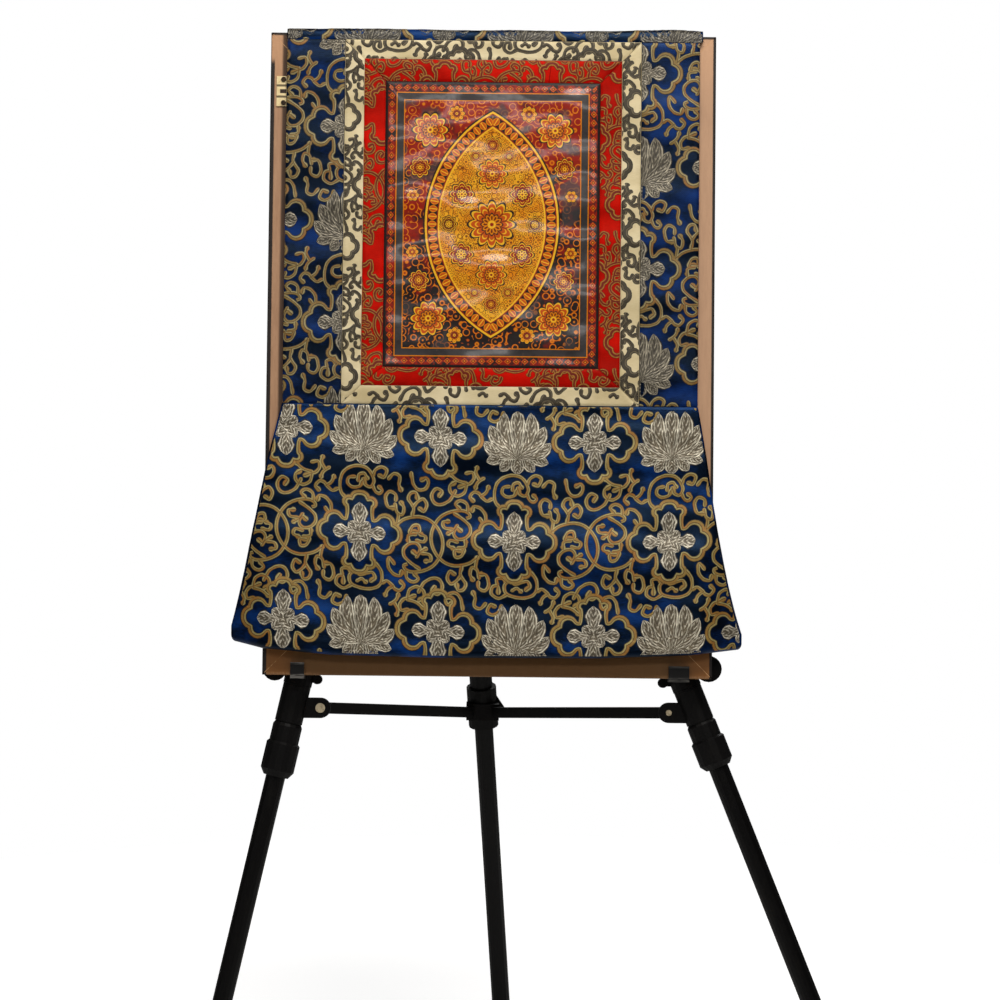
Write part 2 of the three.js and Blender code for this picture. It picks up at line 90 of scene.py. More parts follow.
areaLight("softTop", (0.25, -1.35, 2.8), (-0.05, -0.12, 0.95), (1.3, 0.7), 41, (1.0, 0.97, 0.92))
areaLight("softStrip", (0.1, -2.7, 2.2), (-0.05, -0.15, 0.8), (2.2, 0.4), 15, (1.0, 0.98, 0.95))
areaLight("softFill", (-1.9, -2.4, 1.5), (-0.05, -0.15, 0.75), (1.0, 1.4), 3.5)
areaLight("softRear", (0.7, 2.6, 2.1), (-0.05, 0.0, 0.75), (1.6, 1.2), 22)
backdrop = {"onPieces": 0.1, "seen": 1.0}
world = bpy.data.worlds.new("studio")
scene.world = world
world.use_nodes = True
sky = world.node_tree
sky.nodes["Background"].inputs["Color"].default_value = (1, 1, 1, 1)
seen = sky.nodes.new("ShaderNodeMapRange")  # a white backdrop, but a softer glow on the cloth
seen.inputs["To Min"].default_value = backdrop["onPieces"]
seen.inputs["To Max"].default_value = backdrop["seen"]
sky.links.new(sky.nodes.new("ShaderNodeLightPath").outputs["Is Camera Ray"], seen.inputs["Value"])
sky.links.new(seen.outputs[0], sky.nodes["Background"].inputs["Strength"])


# Shader values: arithmetic on sockets

class Field:
    def __init__(self, socket):
        self.socket = socket
        self.tree = socket.id_data

    def make(self, kind, values, out=0, **settings):
        node = self.tree.nodes.new(kind)
        for key, value in settings.items():
            setattr(node, key, value)
        for key, value in values.items():
            if isinstance(value, Field):
                self.tree.links.new(value.socket, node.inputs[key])
            else:
                node.inputs[key].default_value = value
        return Field(node.outputs[out])

    def math(self, operation, first, second=0.0):
        return self.make("ShaderNodeMath", {0: first, 1: second}, operation=operation)

    def __add__(self, other):
        return self.math("ADD", self, other)

    def __sub__(self, other):
        return self.math("SUBTRACT", self, other)

    def __rsub__(self, other):
        return self.math("SUBTRACT", other, self)

    def __mul__(self, other):
        return self.math("MULTIPLY", self, other)

    def __truediv__(self, other):
        return self.math("DIVIDE", self, other)

    __radd__ = __add__
    __rmul__ = __mul__

    def __abs__(self):
        return self.math("ABSOLUTE", self)

    def sin(self):
        return self.math("SINE", self)

    def cos(self):
        return self.math("COSINE", self)

    def root(self):
        return self.math("SQRT", self)

    def bearing(self, x):
        return self.math("ARCTAN2", self, x)

    def under(self, other):
        return self.math("LESS_THAN", self, other)

    def lower(self, other):
        return self.math("MINIMUM", self, other)

    def higher(self, other):
        return self.math("MAXIMUM", self, other)

    def wrap(self, size):
        return self.make("ShaderNodeMath", {0: self, 1: size / 2, 2: -size / 2}, operation="WRAP")

    def ramp(self, low, high):
        values = {"Value": self, "From Min": low, "From Max": high}
        return self.make("ShaderNodeMapRange", values, interpolation_type="SMOOTHSTEP")

    def band(self, middle, half, soft):
        return abs(self - middle).ramp(half + soft, half - soft)

    def mix(self, first, second):
        values = {0: self, 6: first, 7: second}
        return self.make("ShaderNodeMix", values, out=2, data_type="RGBA")

    def noise(self, scale, detail=2.0, roughness=0.5):
        values = {"Vector": self, "Scale": scale, "Detail": detail, "Roughness": roughness}
        return self.make("ShaderNodeTexNoise", values)

    def cells(self, scale, randomness):
        values = {"Vector": self, "Scale": scale, "Randomness": randomness}
        return self.make("ShaderNodeTexVoronoi", values, out="Distance")

    def axes(self):
        first = self.make("ShaderNodeSeparateXYZ", {0: self})
        return [Field(socket) for socket in first.socket.node.outputs]

    def stretch(self, x, y, z):
        return self.make("ShaderNodeMapping", {"Vector": self, "Scale": (x, y, z)})


def colour(red, green, blue):
    linear = [(c / 255 / 12.92) if c < 10.3 else ((c / 255 + 0.055) / 1.055) ** 2.4 for c in (red, green, blue)]
    return (*linear, 1.0)


fullTurn = 6.2832
# painted shade colour for the edges of petals and crosses
petalEdgeShade = (0.011, 0.009, 0.008, 1.0)


class Finish:
    def __init__(self, name, **constants):
        self.material = bpy.data.materials.new(name)
        self.material.use_nodes = True
        self.tree = self.material.node_tree
        self.shader = self.tree.nodes["Principled BSDF"]
        for key, value in constants.items():
            self.shader.inputs[key.replace("_", " ")].default_value = value

    def source(self, kind, out, **settings):
        node = self.tree.nodes.new(kind)
        for key, value in settings.items():
            setattr(node, key, value)
        return Field(node.outputs[out])

    def uv(self):
        point = self.source("ShaderNodeUVMap", "UV", uv_map="UVMap")
        return point, *point.axes()[:2]

    def place(self):
        return self.source("ShaderNodeTexCoord", "Object")

    def link(self, **fields):
        for key, field in fields.items():
            self.tree.links.new(field.socket, self.shader.inputs[key.replace("_", " ")])

    def bump(self, height, strength, distance):
        values = {"Height": height, "Strength": strength, "Distance": distance}
        self.link(Normal=height.make("ShaderNodeBump", values))


def satinFinish(name, deep, bright, glint, roughness, gloss, contrast=(0.25, 0.8), join=None):
    made = Finish(name, Specular_IOR_Level=gloss, Specular_Tint=glint)
    point, u, v = made.uv()
    cloud = point.stretch(13, 25, 1).noise(1, 2.0, 0.5)
    slub = point.noise(60, 3.0, 0.6)
    thread = point.stretch(150, 2600, 1).noise(1, 2.0, 0.7)
    rib = (v * (fullTurn / 0.0011)).sin() * 0.5 + 0.5
    twill = ((u + v) * (fullTurn / 0.0021)).sin() * 0.5 + 0.5
    # painted sheen and painted shade: the stretched cloud patches swing the satin between its deep and bright colours,
    # standing in for light caught and lost on the folds
    shade = cloud * 0.85 + slub * 0.25 + thread * 0.3 - 0.2
    tone = shade.ramp(*contrast).mix(deep, bright)
    if join:  # where two lengths of a top strip meet
        seam = (u - (v - join[1]) * 0.12).band(join[0], 0.0003, 0.0003) * v.ramp(join[1], join[1] + 0.0005)
        tone = (seam * 0.8).mix(tone, tuple(0.12 * part for part in deep[:3]) + (1.0,))
    made.link(Base_Color=tone, Roughness=thread * 0.22 + roughness)
    made.bump(rib * 0.6 + twill * 0.3 + thread * 0.8, 0.35, 0.00025)
    return made.material


def threadFinish(name, edge, body, core, rim, metal, roughness, warm=None):
    made = Finish(name, Metallic=metal, Specular_IOR_Level=0.5)
    point, u, v = made.uv()
    wear = point.stretch(1, 0.3, 1).noise(3.0, 3.0, 0.7)
    stitch = (u * 62).sin() * 0.5 + 0.5
    across = v + (wear - 0.5) * 0.1
    if warm:  # dye lots: some lengths of thread are more orange
        body = made.place().noise(38, 2.0, 0.5).ramp(0.42, 0.7).mix(body, warm)
    # painted highlight: the paler rim colour along one side of each stroke
    tone = across.ramp(0.54, 0.62).mix(body, rim)
    tone = across.band(0.55, 0.05, 0.03).mix(tone, core)
    tone = (stitch * 0.3 + wear * 0.6).ramp(0.02, 0.5).mix(core, tone)
    # painted shadow: the dark edge colour round each stroke stands in for shade where the raised thread meets the
    # ground cloth
    tone = across.band(0.5, 0.36, 0.05).mix(edge, tone)
    made.link(Base_Color=tone, Roughness=wear * 0.25 + roughness)
    made.bump(stitch * 0.5 + wear * 0.6, 0.5, 0.0003)
    return made.material


def petalFinish(name, dark, base, glint, metal, lines=6.0):
    made = Finish(name, Metallic=metal, Specular_IOR_Level=0.5)
    point, u, v = made.uv()
    side = abs(v - 0.5)
    wear = point.stretch(9, 6, 1).noise(1.0, 3.0, 0.7)
    patch = point.stretch(2.2, 1.6, 1).noise(1.0, 2.0, 0.6)
    weft = point.stretch(26, 60, 1).noise(1.0, 2.0, 0.7)
    vein = ((u * lines - side * lines * 0.9 + (wear - 0.5) * 0.3) * fullTurn).sin()
    border = side.band(0.37, 0.035, 0.02).higher(side.band(0.2, 0.02, 0.015) * 0.7)
    # painted highlight: bright marks the vein lines and borders where the glint colour stands for light caught by the
    # metal thread
    bright = (vein.ramp(0.35, 0.8) * wear.ramp(0.4, 0.62)).higher(border * wear.ramp(0.25, 0.5))
    tone = (weft * 0.5 + patch * 0.6).ramp(0.3, 0.75).mix(dark, base)
    tone = (vein.ramp(-0.5, -0.95) * 0.65).mix(tone, dark)
    tone = (bright * patch.ramp(0.25, 0.55)).mix(tone, glint)
    # painted shade: the near-black edge of each petal stands in for shade between overlapping petals
    tone = side.ramp(0.41, 0.46).mix(tone, petalEdgeShade)
    made.link(Base_Color=tone, Roughness=wear * 0.3 + 0.28)
    made.bump(weft * 0.4 + vein * 0.5 + border, 0.6, 0.0004)
    return made.material


def outlineFinish(name, edge, line, fill, roughness):
    made = Finish(name, Metallic=0.06, Specular_IOR_Level=0.25)
    point, _, v = made.uv()
    wear = point.stretch(1, 0.3, 1).noise(3.0, 3.0, 0.7)
    side = abs(v + (wear - 0.5) * 0.06 - 0.5)
    tone = side.band(0.3, 0.1, 0.04).mix(fill, line)
    tone = (wear.ramp(0.35, 0.7) * 0.5).mix(tone, fill)
    tone = side.ramp(0.41, 0.46).mix(tone, edge)
    made.link(Base_Color=tone, Roughness=wear * 0.25 + roughness)
    made.bump(side.band(0.3, 0.1, 0.06) + wear * 0.4, 0.5, 0.0003)
    return made.material


blueSatin = satinFinish("blueSatin", colour(1, 2, 5), colour(14, 54, 120), (0.2, 0.46, 1.0, 1.0), 0.22, 0.3,
                        contrast=(0.45, 0.72))
shadedBlue = satinFinish("shadedBlue", colour(1, 2, 5), colour(17, 48, 112), (0.25, 0.46, 0.9, 1.0), 0.24, 0.28,
                         contrast=(0.43, 0.72))
creamSatin = satinFinish("creamSatin", colour(206, 186, 138), colour(246, 230, 190), (1.0, 0.95, 0.85, 1.0), 0.42, 0.4,
                         join=(-0.061, 0.632))
redSatin = satinFinish("redSatin", colour(150, 3, 1), colour(222, 18, 6), (1.0, 0.15, 0.08, 1.0), 0.4, 0.35,
                       join=(0.057, 0.609))
goldThread = threadFinish("goldThread", colour(4, 4, 8), colour(162, 132, 66), colour(84, 54, 22),
                          colour(176, 159, 98), 0.25, 0.4, colour(168, 114, 44))
shadedGold = threadFinish("shadedGold", colour(4, 4, 8), colour(140, 114, 58), colour(58, 37, 16),
                          colour(162, 146, 96), 0.2, 0.42, colour(150, 102, 42))
silverThread = petalFinish("silverThread", colour(66, 58, 46), colour(140, 127, 103), colour(242, 234, 212), 0.3)
silverCross = petalFinish("silverCross", colour(62, 54, 44), colour(140, 129, 107), colour(240, 232, 212), 0.35, 5.0)
shadedSilver = petalFinish("shadedSilver", colour(52, 47, 40), colour(108, 100, 84), colour(186, 176, 154), 0.35)
dimSilver = petalFinish("dimSilver", colour(34, 31, 28), colour(80, 75, 66), colour(150, 143, 126), 0.25)
oliveThread = threadFinish("oliveThread", colour(36, 30, 21), colour(68, 59, 41), colour(34, 28, 19),
                           colour(104, 92, 68), 0.1, 0.5)
greyPetal = petalFinish("greyPetal", colour(52, 44, 32), colour(100, 90, 72), colour(150, 138, 112), 0.2)
dullGold = outlineFinish("dullGold", colour(104, 8, 4), colour(176, 124, 46), colour(112, 30, 10), 0.5)
print("cloth materials made")

# The cloth's shape, the same as the solids'

creases = [
    {"height": 622, "reach": 14, "proud": 1.6, "climb": -14, "middle": -170, "spread": 150},
    {"height": 574, "reach": 17, "proud": 2.2, "climb": 12, "middle": 190, "spread": 190},
    {"height": 551, "reach": 15, "proud": 1.8, "climb": 6, "middle": -190, "spread": 130},
    {"height": 522, "reach": 13, "proud": 1.5, "climb": 4, "middle": -120, "spread": 190},
    {"height": 484, "reach": 15, "proud": 2.3, "climb": 8, "middle": 20, "spread": 330},
    {"height": 447, "reach": 14, "proud": 1.6, "climb": 10, "middle": 180, "spread": 150},
    {"height": 417, "reach": 16, "proud": 2.2, "climb": -8, "middle": -110, "spread": 210},
    {"height": 381, "reach": 15, "proud": 1.9, "climb": 9, "middle": 150, "spread": 200},
    {"height": 352, "reach": 13, "proud": 1.8, "climb": -6, "middle": -160, "spread": 170},
    {"height": 309, "reach": 15, "proud": 2.0, "climb": 5, "middle": 0, "spread": 300},
    {"height": 226, "reach": 22, "proud": 4.0, "climb": 12, "middle": -60, "spread": 260},
    {"height": 128, "reach": 26, "proud": 5.5, "climb": -16, "middle": 40, "spread": 280},
]
cloth = {"thick": 1.6, "half": 212, "headSeam": 652, "skirtSeam": 277, "gap": 0.3, "step": 3.0, "rim": 6.5}
skirt = {
    "drop": [0, 40, 82, 158, 202, 250], "left": [212, 221, 230, 243, 252, 262], "right": [212, 219, 225, 237, 247, 260],
    "hemX": [-262, -228, -159, -48, 114, 205, 260], "hemZ": [41, 33, 27, 25, 26, 30, 37],
    "sagX": [-240, -207, -134, -57, 22, 104, 178, 240], "sagZ": [11, 9, 4, -2, -3, -7, -2, 0],
    "hemRadius": 6, "turn": 3, "swell": 15, "curl": 26, "curlStart": 214, "curlEnd": 264, "fall": 247,
}


def standOff(x, z):
    proud = np.full(np.shape(x), board["clear"], float)
    for fold in creases:
        line = fold["height"] + fold["climb"] * x / (2 * cloth["half"])
        away = ((z - line) / fold["reach"]) ** 2 + ((x - fold["middle"]) / fold["spread"]) ** 2
        proud += fold["proud"] * np.exp(-away)
    return proud


def ripple(x, z):
    fine = np.sin(x * 0.061 + z * 0.118 + 1.3) * np.sin(z * 0.213 - x * 0.019)
    slow = np.sin(x * 0.023 - z * 0.047 + 0.4) * np.sin(z * 0.083 + 2.1)
    dent = np.sin(x * 0.041 + z * 0.071 + 2.2) * np.sin(z * 0.152 - x * 0.033 + 0.7)
    return 0.3 * fine + 0.55 * slow + 0.5 * dent + 1.35


def smooth(value, low, high):
    share = np.clip((value - low) / (high - low), 0, 1)
    return share * share * (3 - 2 * share)


def edgeDip(x, z, corners, depth=0.75, reach=1.7):
    near = np.full(np.shape(x), 1e9)
    for (ax, az), (bx, bz) in zip(corners, corners[1:] + corners[:1]):
        length = math.hypot(bx - ax, bz - az)
        near = np.minimum(near, ((bx - ax) * (z - az) - (bz - az) * (x - ax)) / length)
    return depth * np.exp(-((np.maximum(near, 0) / reach) ** 2))


def panelFront(x, z, corners):
    return -standOff(x, z) - cloth["thick"] - ripple(x, z) * 0.7 + edgeDip(x, z, corners)


def skirtRoll(x):
    return np.interp(x, skirt["hemX"], skirt["hemZ"])


def skirtFront(x, z, corners):
    roll = skirtRoll(x)
    radius = skirt["hemRadius"]
    top = cloth["skirtSeam"] - cloth["gap"] / 2
    share = np.clip((top - z) / (top - roll - radius - skirt["turn"]), 0, 1)
    flat = np.maximum(z, roll + radius + skirt["turn"])
    curl = skirt["curl"] * smooth(np.abs(x), skirt["curlStart"], skirt["curlEnd"])
    proud = standOff(x, flat) + skirt["swell"] * share**1.4 - curl * share**1.5
    below = np.clip(roll - z, 0, radius * 0.995)
    tuck = radius - np.sqrt(radius * radius - below * below)
    stitch = 0.5 * np.exp(-(((z - roll - radius - 6) / 1.3) ** 2))
    seam = 0.75 * np.exp(-(((top - z) / 1.7) ** 2))
    return -proud - cloth["thick"] - ripple(x, z) * 1.5 * (1 - share**6) + tuck + stitch + seam


def addMesh(name, points, faces, uvs, finishes, kinds=None, smoothShade=True):
    mesh = bpy.data.meshes.new(name)
    mesh.from_pydata([tuple(p) for p in points], [], [tuple(f) for f in faces])
    layer = mesh.uv_layers.new(name="UVMap")
    corner = np.empty(len(mesh.loops), np.int32)
    mesh.loops.foreach_get("vertex_index", corner)
    layer.data.foreach_set("uv", np.asarray(uvs, np.float32)[corner].ravel())
    for finish in finishes:
        mesh.materials.append(finish)
    if kinds is not None:
        mesh.polygons.foreach_set("material_index", np.asarray(kinds, np.int32))
    mesh.polygons.foreach_set("use_smooth", [smoothShade] * len(mesh.polygons))
    mesh.update()
    item = attach(name, mesh)
    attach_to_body(item, "root")
    return item


def gridFaces(columns, rows):
    at = np.arange((columns + 1) * (rows + 1)).reshape(columns + 1, rows + 1)
    front = np.stack([at[:-1, :-1], at[:-1, 1:], at[1:, 1:], at[1:, :-1]], -1).reshape(-1, 4)
    count = at.size
    rim = np.concatenate([at[0, :-1], at[:-1, -1], at[-1, :0:-1], at[:0:-1, 0]])
    after = np.roll(rim, -1)
    wall = np.stack([rim, rim + count, after + count, after], -1)
    return np.concatenate([front, front[:, ::-1] + count, wall])


def shares(length):  # grid lines, closer together at the seams
    rim = cloth["rim"]
    near = np.array([0, 0.5, 1.1, 1.9, 3.0, 4.6])
    middle = np.linspace(rim, length - rim, max(3, int((length - 2 * rim) / cloth["step"])))
    if length < 2 * rim + cloth["step"]:
        return np.linspace(0, 1, 12)
    return np.concatenate([near, middle, length - near[::-1]]) / length


def inset(corners, by):
    sides = []
    for (ax, az), (bx, bz) in zip(corners, corners[1:] + corners[:1]):
        length = math.hypot(bx - ax, bz - az)
        along = ((bx - ax) / length, (bz - az) / length)
        sides.append((along, (ax - along[1] * by, az + along[0] * by)))
    moved = []
    for last, side in zip(sides[-1:] + sides[:-1], sides):
        (lx, lz), (px, pz) = last
        (sx, sz), (qx, qz) = side
        step = ((qx - px) * sz - (qz - pz) * sx) / (lx * sz - lz * sx)
        moved.append((px + lx * step, pz + lz * step))
    return moved


def cockle(x, z, corners):  # the stiff painted cloth buckles between its seams
    wave = np.sin(x * 0.052 + z * 0.031 + 0.5) * np.sin(z * 0.094 - x * 0.017 + 1.1)
    wave = wave + 0.6 * np.sin(x * 0.097 - z * 0.061 + 2.0) * np.sin(z * 0.139 + x * 0.043)
    return panelFront(x, z, corners) - 1.1 * (wave + 0.9) * (1 - edgeDip(x, z, corners, 1.0, 9.0))


def clothPanel(name, corners, finish, face=panelFront):
    cut = inset(corners, cloth["gap"] / 2)
    wide = max(math.dist(cut[0], cut[1]), math.dist(cut[3], cut[2]))
    tall = max(math.dist(cut[0], cut[3]), math.dist(cut[1], cut[2]))
    s, t = np.meshgrid(shares(wide), shares(tall), indexing="ij")
    low = [np.array(cut[0][k]) * (1 - s) + cut[1][k] * s for k in (0, 1)]
    high = [np.array(cut[3][k]) * (1 - s) + cut[2][k] * s for k in (0, 1)]
    x, z = (high[k] * (1 - t) + low[k] * t for k in (0, 1))
    front = np.stack([x, face(x, z, cut), z], -1).reshape(-1, 3)
    back = np.stack([x, -standOff(x, z) - 0.02, z], -1).reshape(-1, 3)
    uv = np.stack([x, z], -1).reshape(-1, 2) / 1000
    faces = gridFaces(s.shape[0] - 1, s.shape[1] - 1)
    item = addMesh(name, toWorld(np.concatenate([front, back])), faces, np.concatenate([uv, uv]), [finish])
    area = 0.5 * abs(sum(a[0] * b[1] - b[0] * a[1] for a, b in zip(cut, cut[1:] + cut[:1]))) / 1e6
    return {"item": item, "corners": cut, "front": panelFront, "flat": (wide / 1000, tall / 1000), "area": area}


def rectangle(left, right, bottom, top):
    return [(left, bottom), (right, bottom), (right, top), (left, top)]


def borderCuts(outer, inner):
    (oh, ob, ot), (ih, ib, it) = outer, inner
    return {
        "top": [(-ih, it), (ih, it), (oh, ot), (-oh, ot)],
        "bottom": [(-oh, ob), (oh, ob), (ih, ib), (-ih, ib)],
        "left": [(-oh, ob), (-ih, ib), (-ih, it), (-oh, ot)],
        "right": [(ih, ib), (oh, ob), (oh, ot), (ih, it)],
    }


def paintedFinish():
    made = Finish("paintedCloth", Specular_IOR_Level=0.15, Coat_Roughness=0.13)
    point, u, v = made.uv()
    x, y = u * 1000, v * 1000 - 462
    side, rise = abs(x), abs(y)
    night, wine, ember = colour(38, 30, 28), colour(150, 30, 12), colour(202, 84, 16)
    gold, pale, umber = colour(226, 130, 6), colour(250, 188, 40), colour(112, 44, 8)
    slate = colour(66, 62, 62)

    def rosette(tone, px, py, size, lobes, leaf, heart):
        reach = (px * px + py * py).root()
        turn = py.bearing(px)
        wave = abs((turn * (lobes / 2)).cos())
        share = reach / (wave * 0.26 + 0.74) / size
        tone = share.ramp(1.07, 1.0).mix(tone, night)
        tone = share.ramp(0.96, 0.92).mix(tone, pale)
        petal = wave.ramp(0.05, 0.45).mix(umber, leaf)
        tone = share.ramp(0.88, 0.83).mix(tone, petal)
        tone = (share.band(0.66, 0.03, 0.02) * wave.ramp(0.3, 0.6)).mix(tone, pale)
        tone = share.ramp(0.5, 0.46).mix(tone, night)
        tone = share.ramp(0.44, 0.4).mix(tone, heart)
        ray = ((turn * lobes).cos() * 0.5 + 0.5).ramp(0.3, 0.7)
        tone = (share.ramp(0.36, 0.33) * ray).mix(tone, umber)
        tone = share.ramp(0.2, 0.16).mix(tone, pale)
        return share.ramp(0.1, 0.07).mix(tone, wine)

    # ground with cloud scrolls
    drift = point.noise(42, 3.0, 0.6)
    cloud = point.cells(120, randomness=0.75)
    scroll = (cloud * 16.5).sin()
    patch = (drift + y * 0.0016).ramp(0.42, 0.6)
    tone = patch.mix(night, wine)
    tone = (scroll.ramp(0.35, 0.8) * drift.ramp(0.3, 0.55)).mix(tone, ember)
    tone = (scroll.ramp(0.8, 0.95) * 0.9).mix(tone, gold)
    tone = (point.noise(30, 2.0, 0.5).ramp(0.54, 0.62) * 0.8).mix(tone, slate)
    for px, py, *form in ((64, 97, 19, 10, ember, gold), (74, 58, 11, 8, wine, gold),
                          (37, 114, 8.5, 8, gold, wine), (81, 29, 6.5, 6, gold, ember)):
        tone = rosette(tone, side - px, rise - py, *form)
    # upright pointed oval with a band of petals
    lean = side + 64.5
    out = (lean * lean + y * y).root() - 134.5
    field = (drift * 0.9 + scroll * 0.06).ramp(0.2, 0.75).mix(gold, pale)
    fine = (point.cells(210, randomness=0.6) * 21).sin()
    field = (fine.ramp(0.2, 0.8) * 0.9).mix(field, umber)
    for px, py, *form in ((0, 0, 25, 12, ember, gold), (31, 31, 13, 8, wine, pale), (0, 52, 16, 10, ember, gold),
                          (17, 70, 6.5, 6, wine, pale), (44, 0, 9, 8, umber, pale), (0, 82, 8.5, 8, wine, gold)):
        field = rosette(field, side - px, rise - py, *form)
    run = (y.bearing(lean) * 134.5).wrap(8.4)
    leafLine = abs(run) - (1 - ((out + 9) / 5) * ((out + 9) / 5)) * 3.6
    band = leafLine.ramp(0.6, -0.1).mix(night, gold)
    band = leafLine.ramp(-0.7, -1.1).mix(band, ember)
    band = (abs(run).ramp(0.7, 0.3) * leafLine.ramp(-0.7, -1.1)).mix(band, pale)
    oval = out.ramp(-15.2, -15.6).mix(band, field)
    ovalLines = ((-15.4, 0.9, pale), (-14.0, 0.6, wine), (-4.0, 0.7, wine), (-2.4, 1.1, pale), (-0.5, 0.9, night))
    for at, half, line in ovalLines:
        oval = out.band(at, half, 0.25).mix(oval, line)
    tone = out.ramp(0.4, -0.2).mix(tone, oval)
    # frame lines round the field
    edge = (110 - side).lower(147 - rise)
    upright = (110 - side).under(147 - rise)
    along = upright * y + (1 - upright) * x
    bead = abs(along.wrap(8.8)) + abs(edge - 6.6) * 1.15
    trim = (drift + scroll * 0.1).ramp(0.35, 0.65).mix(night, wine)
    trim = bead.ramp(4.0, 3.6).mix(trim, ember)
    trim = bead.ramp(2.5, 2.1).mix(trim, umber)
    trim = bead.ramp(1.3, 0.9).mix(trim, gold)
    tone = edge.ramp(19.6, 19.2).mix(tone, (drift * 1.2).ramp(0.3, 0.8).mix(colour(46, 42, 42), slate))
    tone = edge.ramp(11.8, 11.4).mix(tone, trim)
    for at, half, line in ((19.5, 0.45, gold), (11.6, 0.5, gold), (1.2, 1.4, night)):
        tone = edge.band(at, half, 0.2).mix(tone, line)
    worn = point.noise(260, 4.0, 0.7)
    tone = (worn.ramp(0.6, 0.85) * 0.15).mix(tone, colour(190, 140, 84))
    canvas = (x * 7.2).sin() * 0.5 + (y * 7.2).sin() * 0.5
    varnish = (worn.ramp(0.2, 0.7) * 0.46 + 0.2) * edge.ramp(1.5, 6)
    made.link(Base_Color=tone, Roughness=worn * 0.2 + 0.3, Coat_Weight=varnish)
    made.bump(canvas * 0.25 + worn + scroll * 0.25, 0.3, 0.0003)
    return made.material


paintingFinish = paintedFinish()
# half width, bottom and top of the painting and of each border round it
paintingEdge, redEdge = (110, 315, 609), (132, 296, 632)
creamEdge = (152, cloth["skirtSeam"], cloth["headSeam"])
half, low, high = paintingEdge
panels = {"painting": clothPanel("paintedPanel", rectangle(-half, half, low, high), paintingFinish, face=cockle)}
for side, cut in borderCuts(redEdge, paintingEdge).items():
    panels["red_" + side] = clothPanel("redStrip_" + side, cut, redSatin)
for side, cut in borderCuts(creamEdge, redEdge).items():
    panels["cream_" + side] = clothPanel("creamStrip_" + side, cut, creamSatin)
half, low, high = creamEdge
panels["side_left"] = clothPanel("sidePanel_left", rectangle(-cloth["half"], -half, low, high), shadedBlue)
panels["side_right"] = clothPanel("sidePanel_right", rectangle(half, cloth["half"], low, high), shadedBlue)
print("flat panels made")


def flareAt(drop):
    return tuple(np.polyval(np.polyfit(skirt["drop"], skirt[edge], 3), drop) for edge in ("left", "right"))


def makeSkirt():
    columns = 190
    rows = 84
    turns = np.radians([74, 62, 46, 30, 14, 0, -14, -28, -42, -56, -70, -82])
    radius = skirt["hemRadius"]
    top = cloth["skirtSeam"] - cloth["gap"] / 2
    across = np.linspace(0, 1, columns + 1)
    down = np.concatenate([[0, 0.002, 0.005, 0.01, 0.018], np.linspace(0.028, 1, rows - 4)])
    front, back = [], []
    for share in list(down) + list(turns):
        isTurn = len(front) >= len(down)
        drop = 1.0 if isTurn else share
        left, right = flareAt(drop * skirt["fall"])
        if isTurn:  # rounded hem corners
            left, right = (edge - radius * 0.7 * (1 - math.cos(max(-share, 0))) for edge in (left, right))
        x = -left + (left + right) * across
        roll = skirtRoll(x)
        hemTop = roll + radius + skirt["turn"]
        z = roll + radius * math.sin(share) if isTurn else top + (hemTop - top) * drop
        face = skirtFront(x, z, None)
        if isTurn:
            flat = skirtFront(x, np.maximum(z, roll), None)
            rear = flat + radius * (1 + math.cos(share))
        else:
            rear = face + cloth["thick"] + 0.2
        front.append(np.stack([x, face, z], -1))
        back.append(np.stack([x, rear, z], -1))
    front, back = (np.stack(part, 1).reshape(-1, 3) for part in (front, back))
    uv = front[:, [0, 2]] / 1000
    faces = gridFaces(columns, len(down) + len(turns) - 1)
    points = toWorld(np.concatenate([front, back]))
    item = addMesh("flaredSkirt", points, faces, np.concatenate([uv, uv]), [blueSatin])
    hem = [(x, z - 4.6) for x, z in zip(skirt["hemX"][1:-1], skirt["hemZ"][1:-1])]

    lowest = top - skirt["hemZ"][-1] - radius - skirt["turn"]
    upright = 250

    def edges(zs):
        return flareAt(np.clip((top - zs) / lowest, 0, 1) * skirt["fall"])

    def square(xs, zs):  # skirt sides made upright, to cut the figures along them
        left, right = edges(zs)
        return np.where(xs < 0, xs / left, xs / right) * upright

    def flare(xs, zs):
        left, right = edges(zs)
        return np.where(xs < 0, xs * left, xs * right) / upright

    hem = [(float(square(np.array(x), np.array(z))), z) for x, z in hem]
    side, seam = upright - 1.6, cloth["skirtSeam"] - 0.4
    corners = [(-side, 35.5)] + hem + [(side, 31.5), (side, seam), (-side, seam)]
    return {"item": item, "corners": corners, "front": skirtFront, "flat": (0.524, 0.30), "area": 0.137,
            "square": square, "flare": flare, "bare": -245, "sag": np.polyfit(skirt["sagX"], skirt["sagZ"], 4)}


panels["skirt"] = makeSkirt()


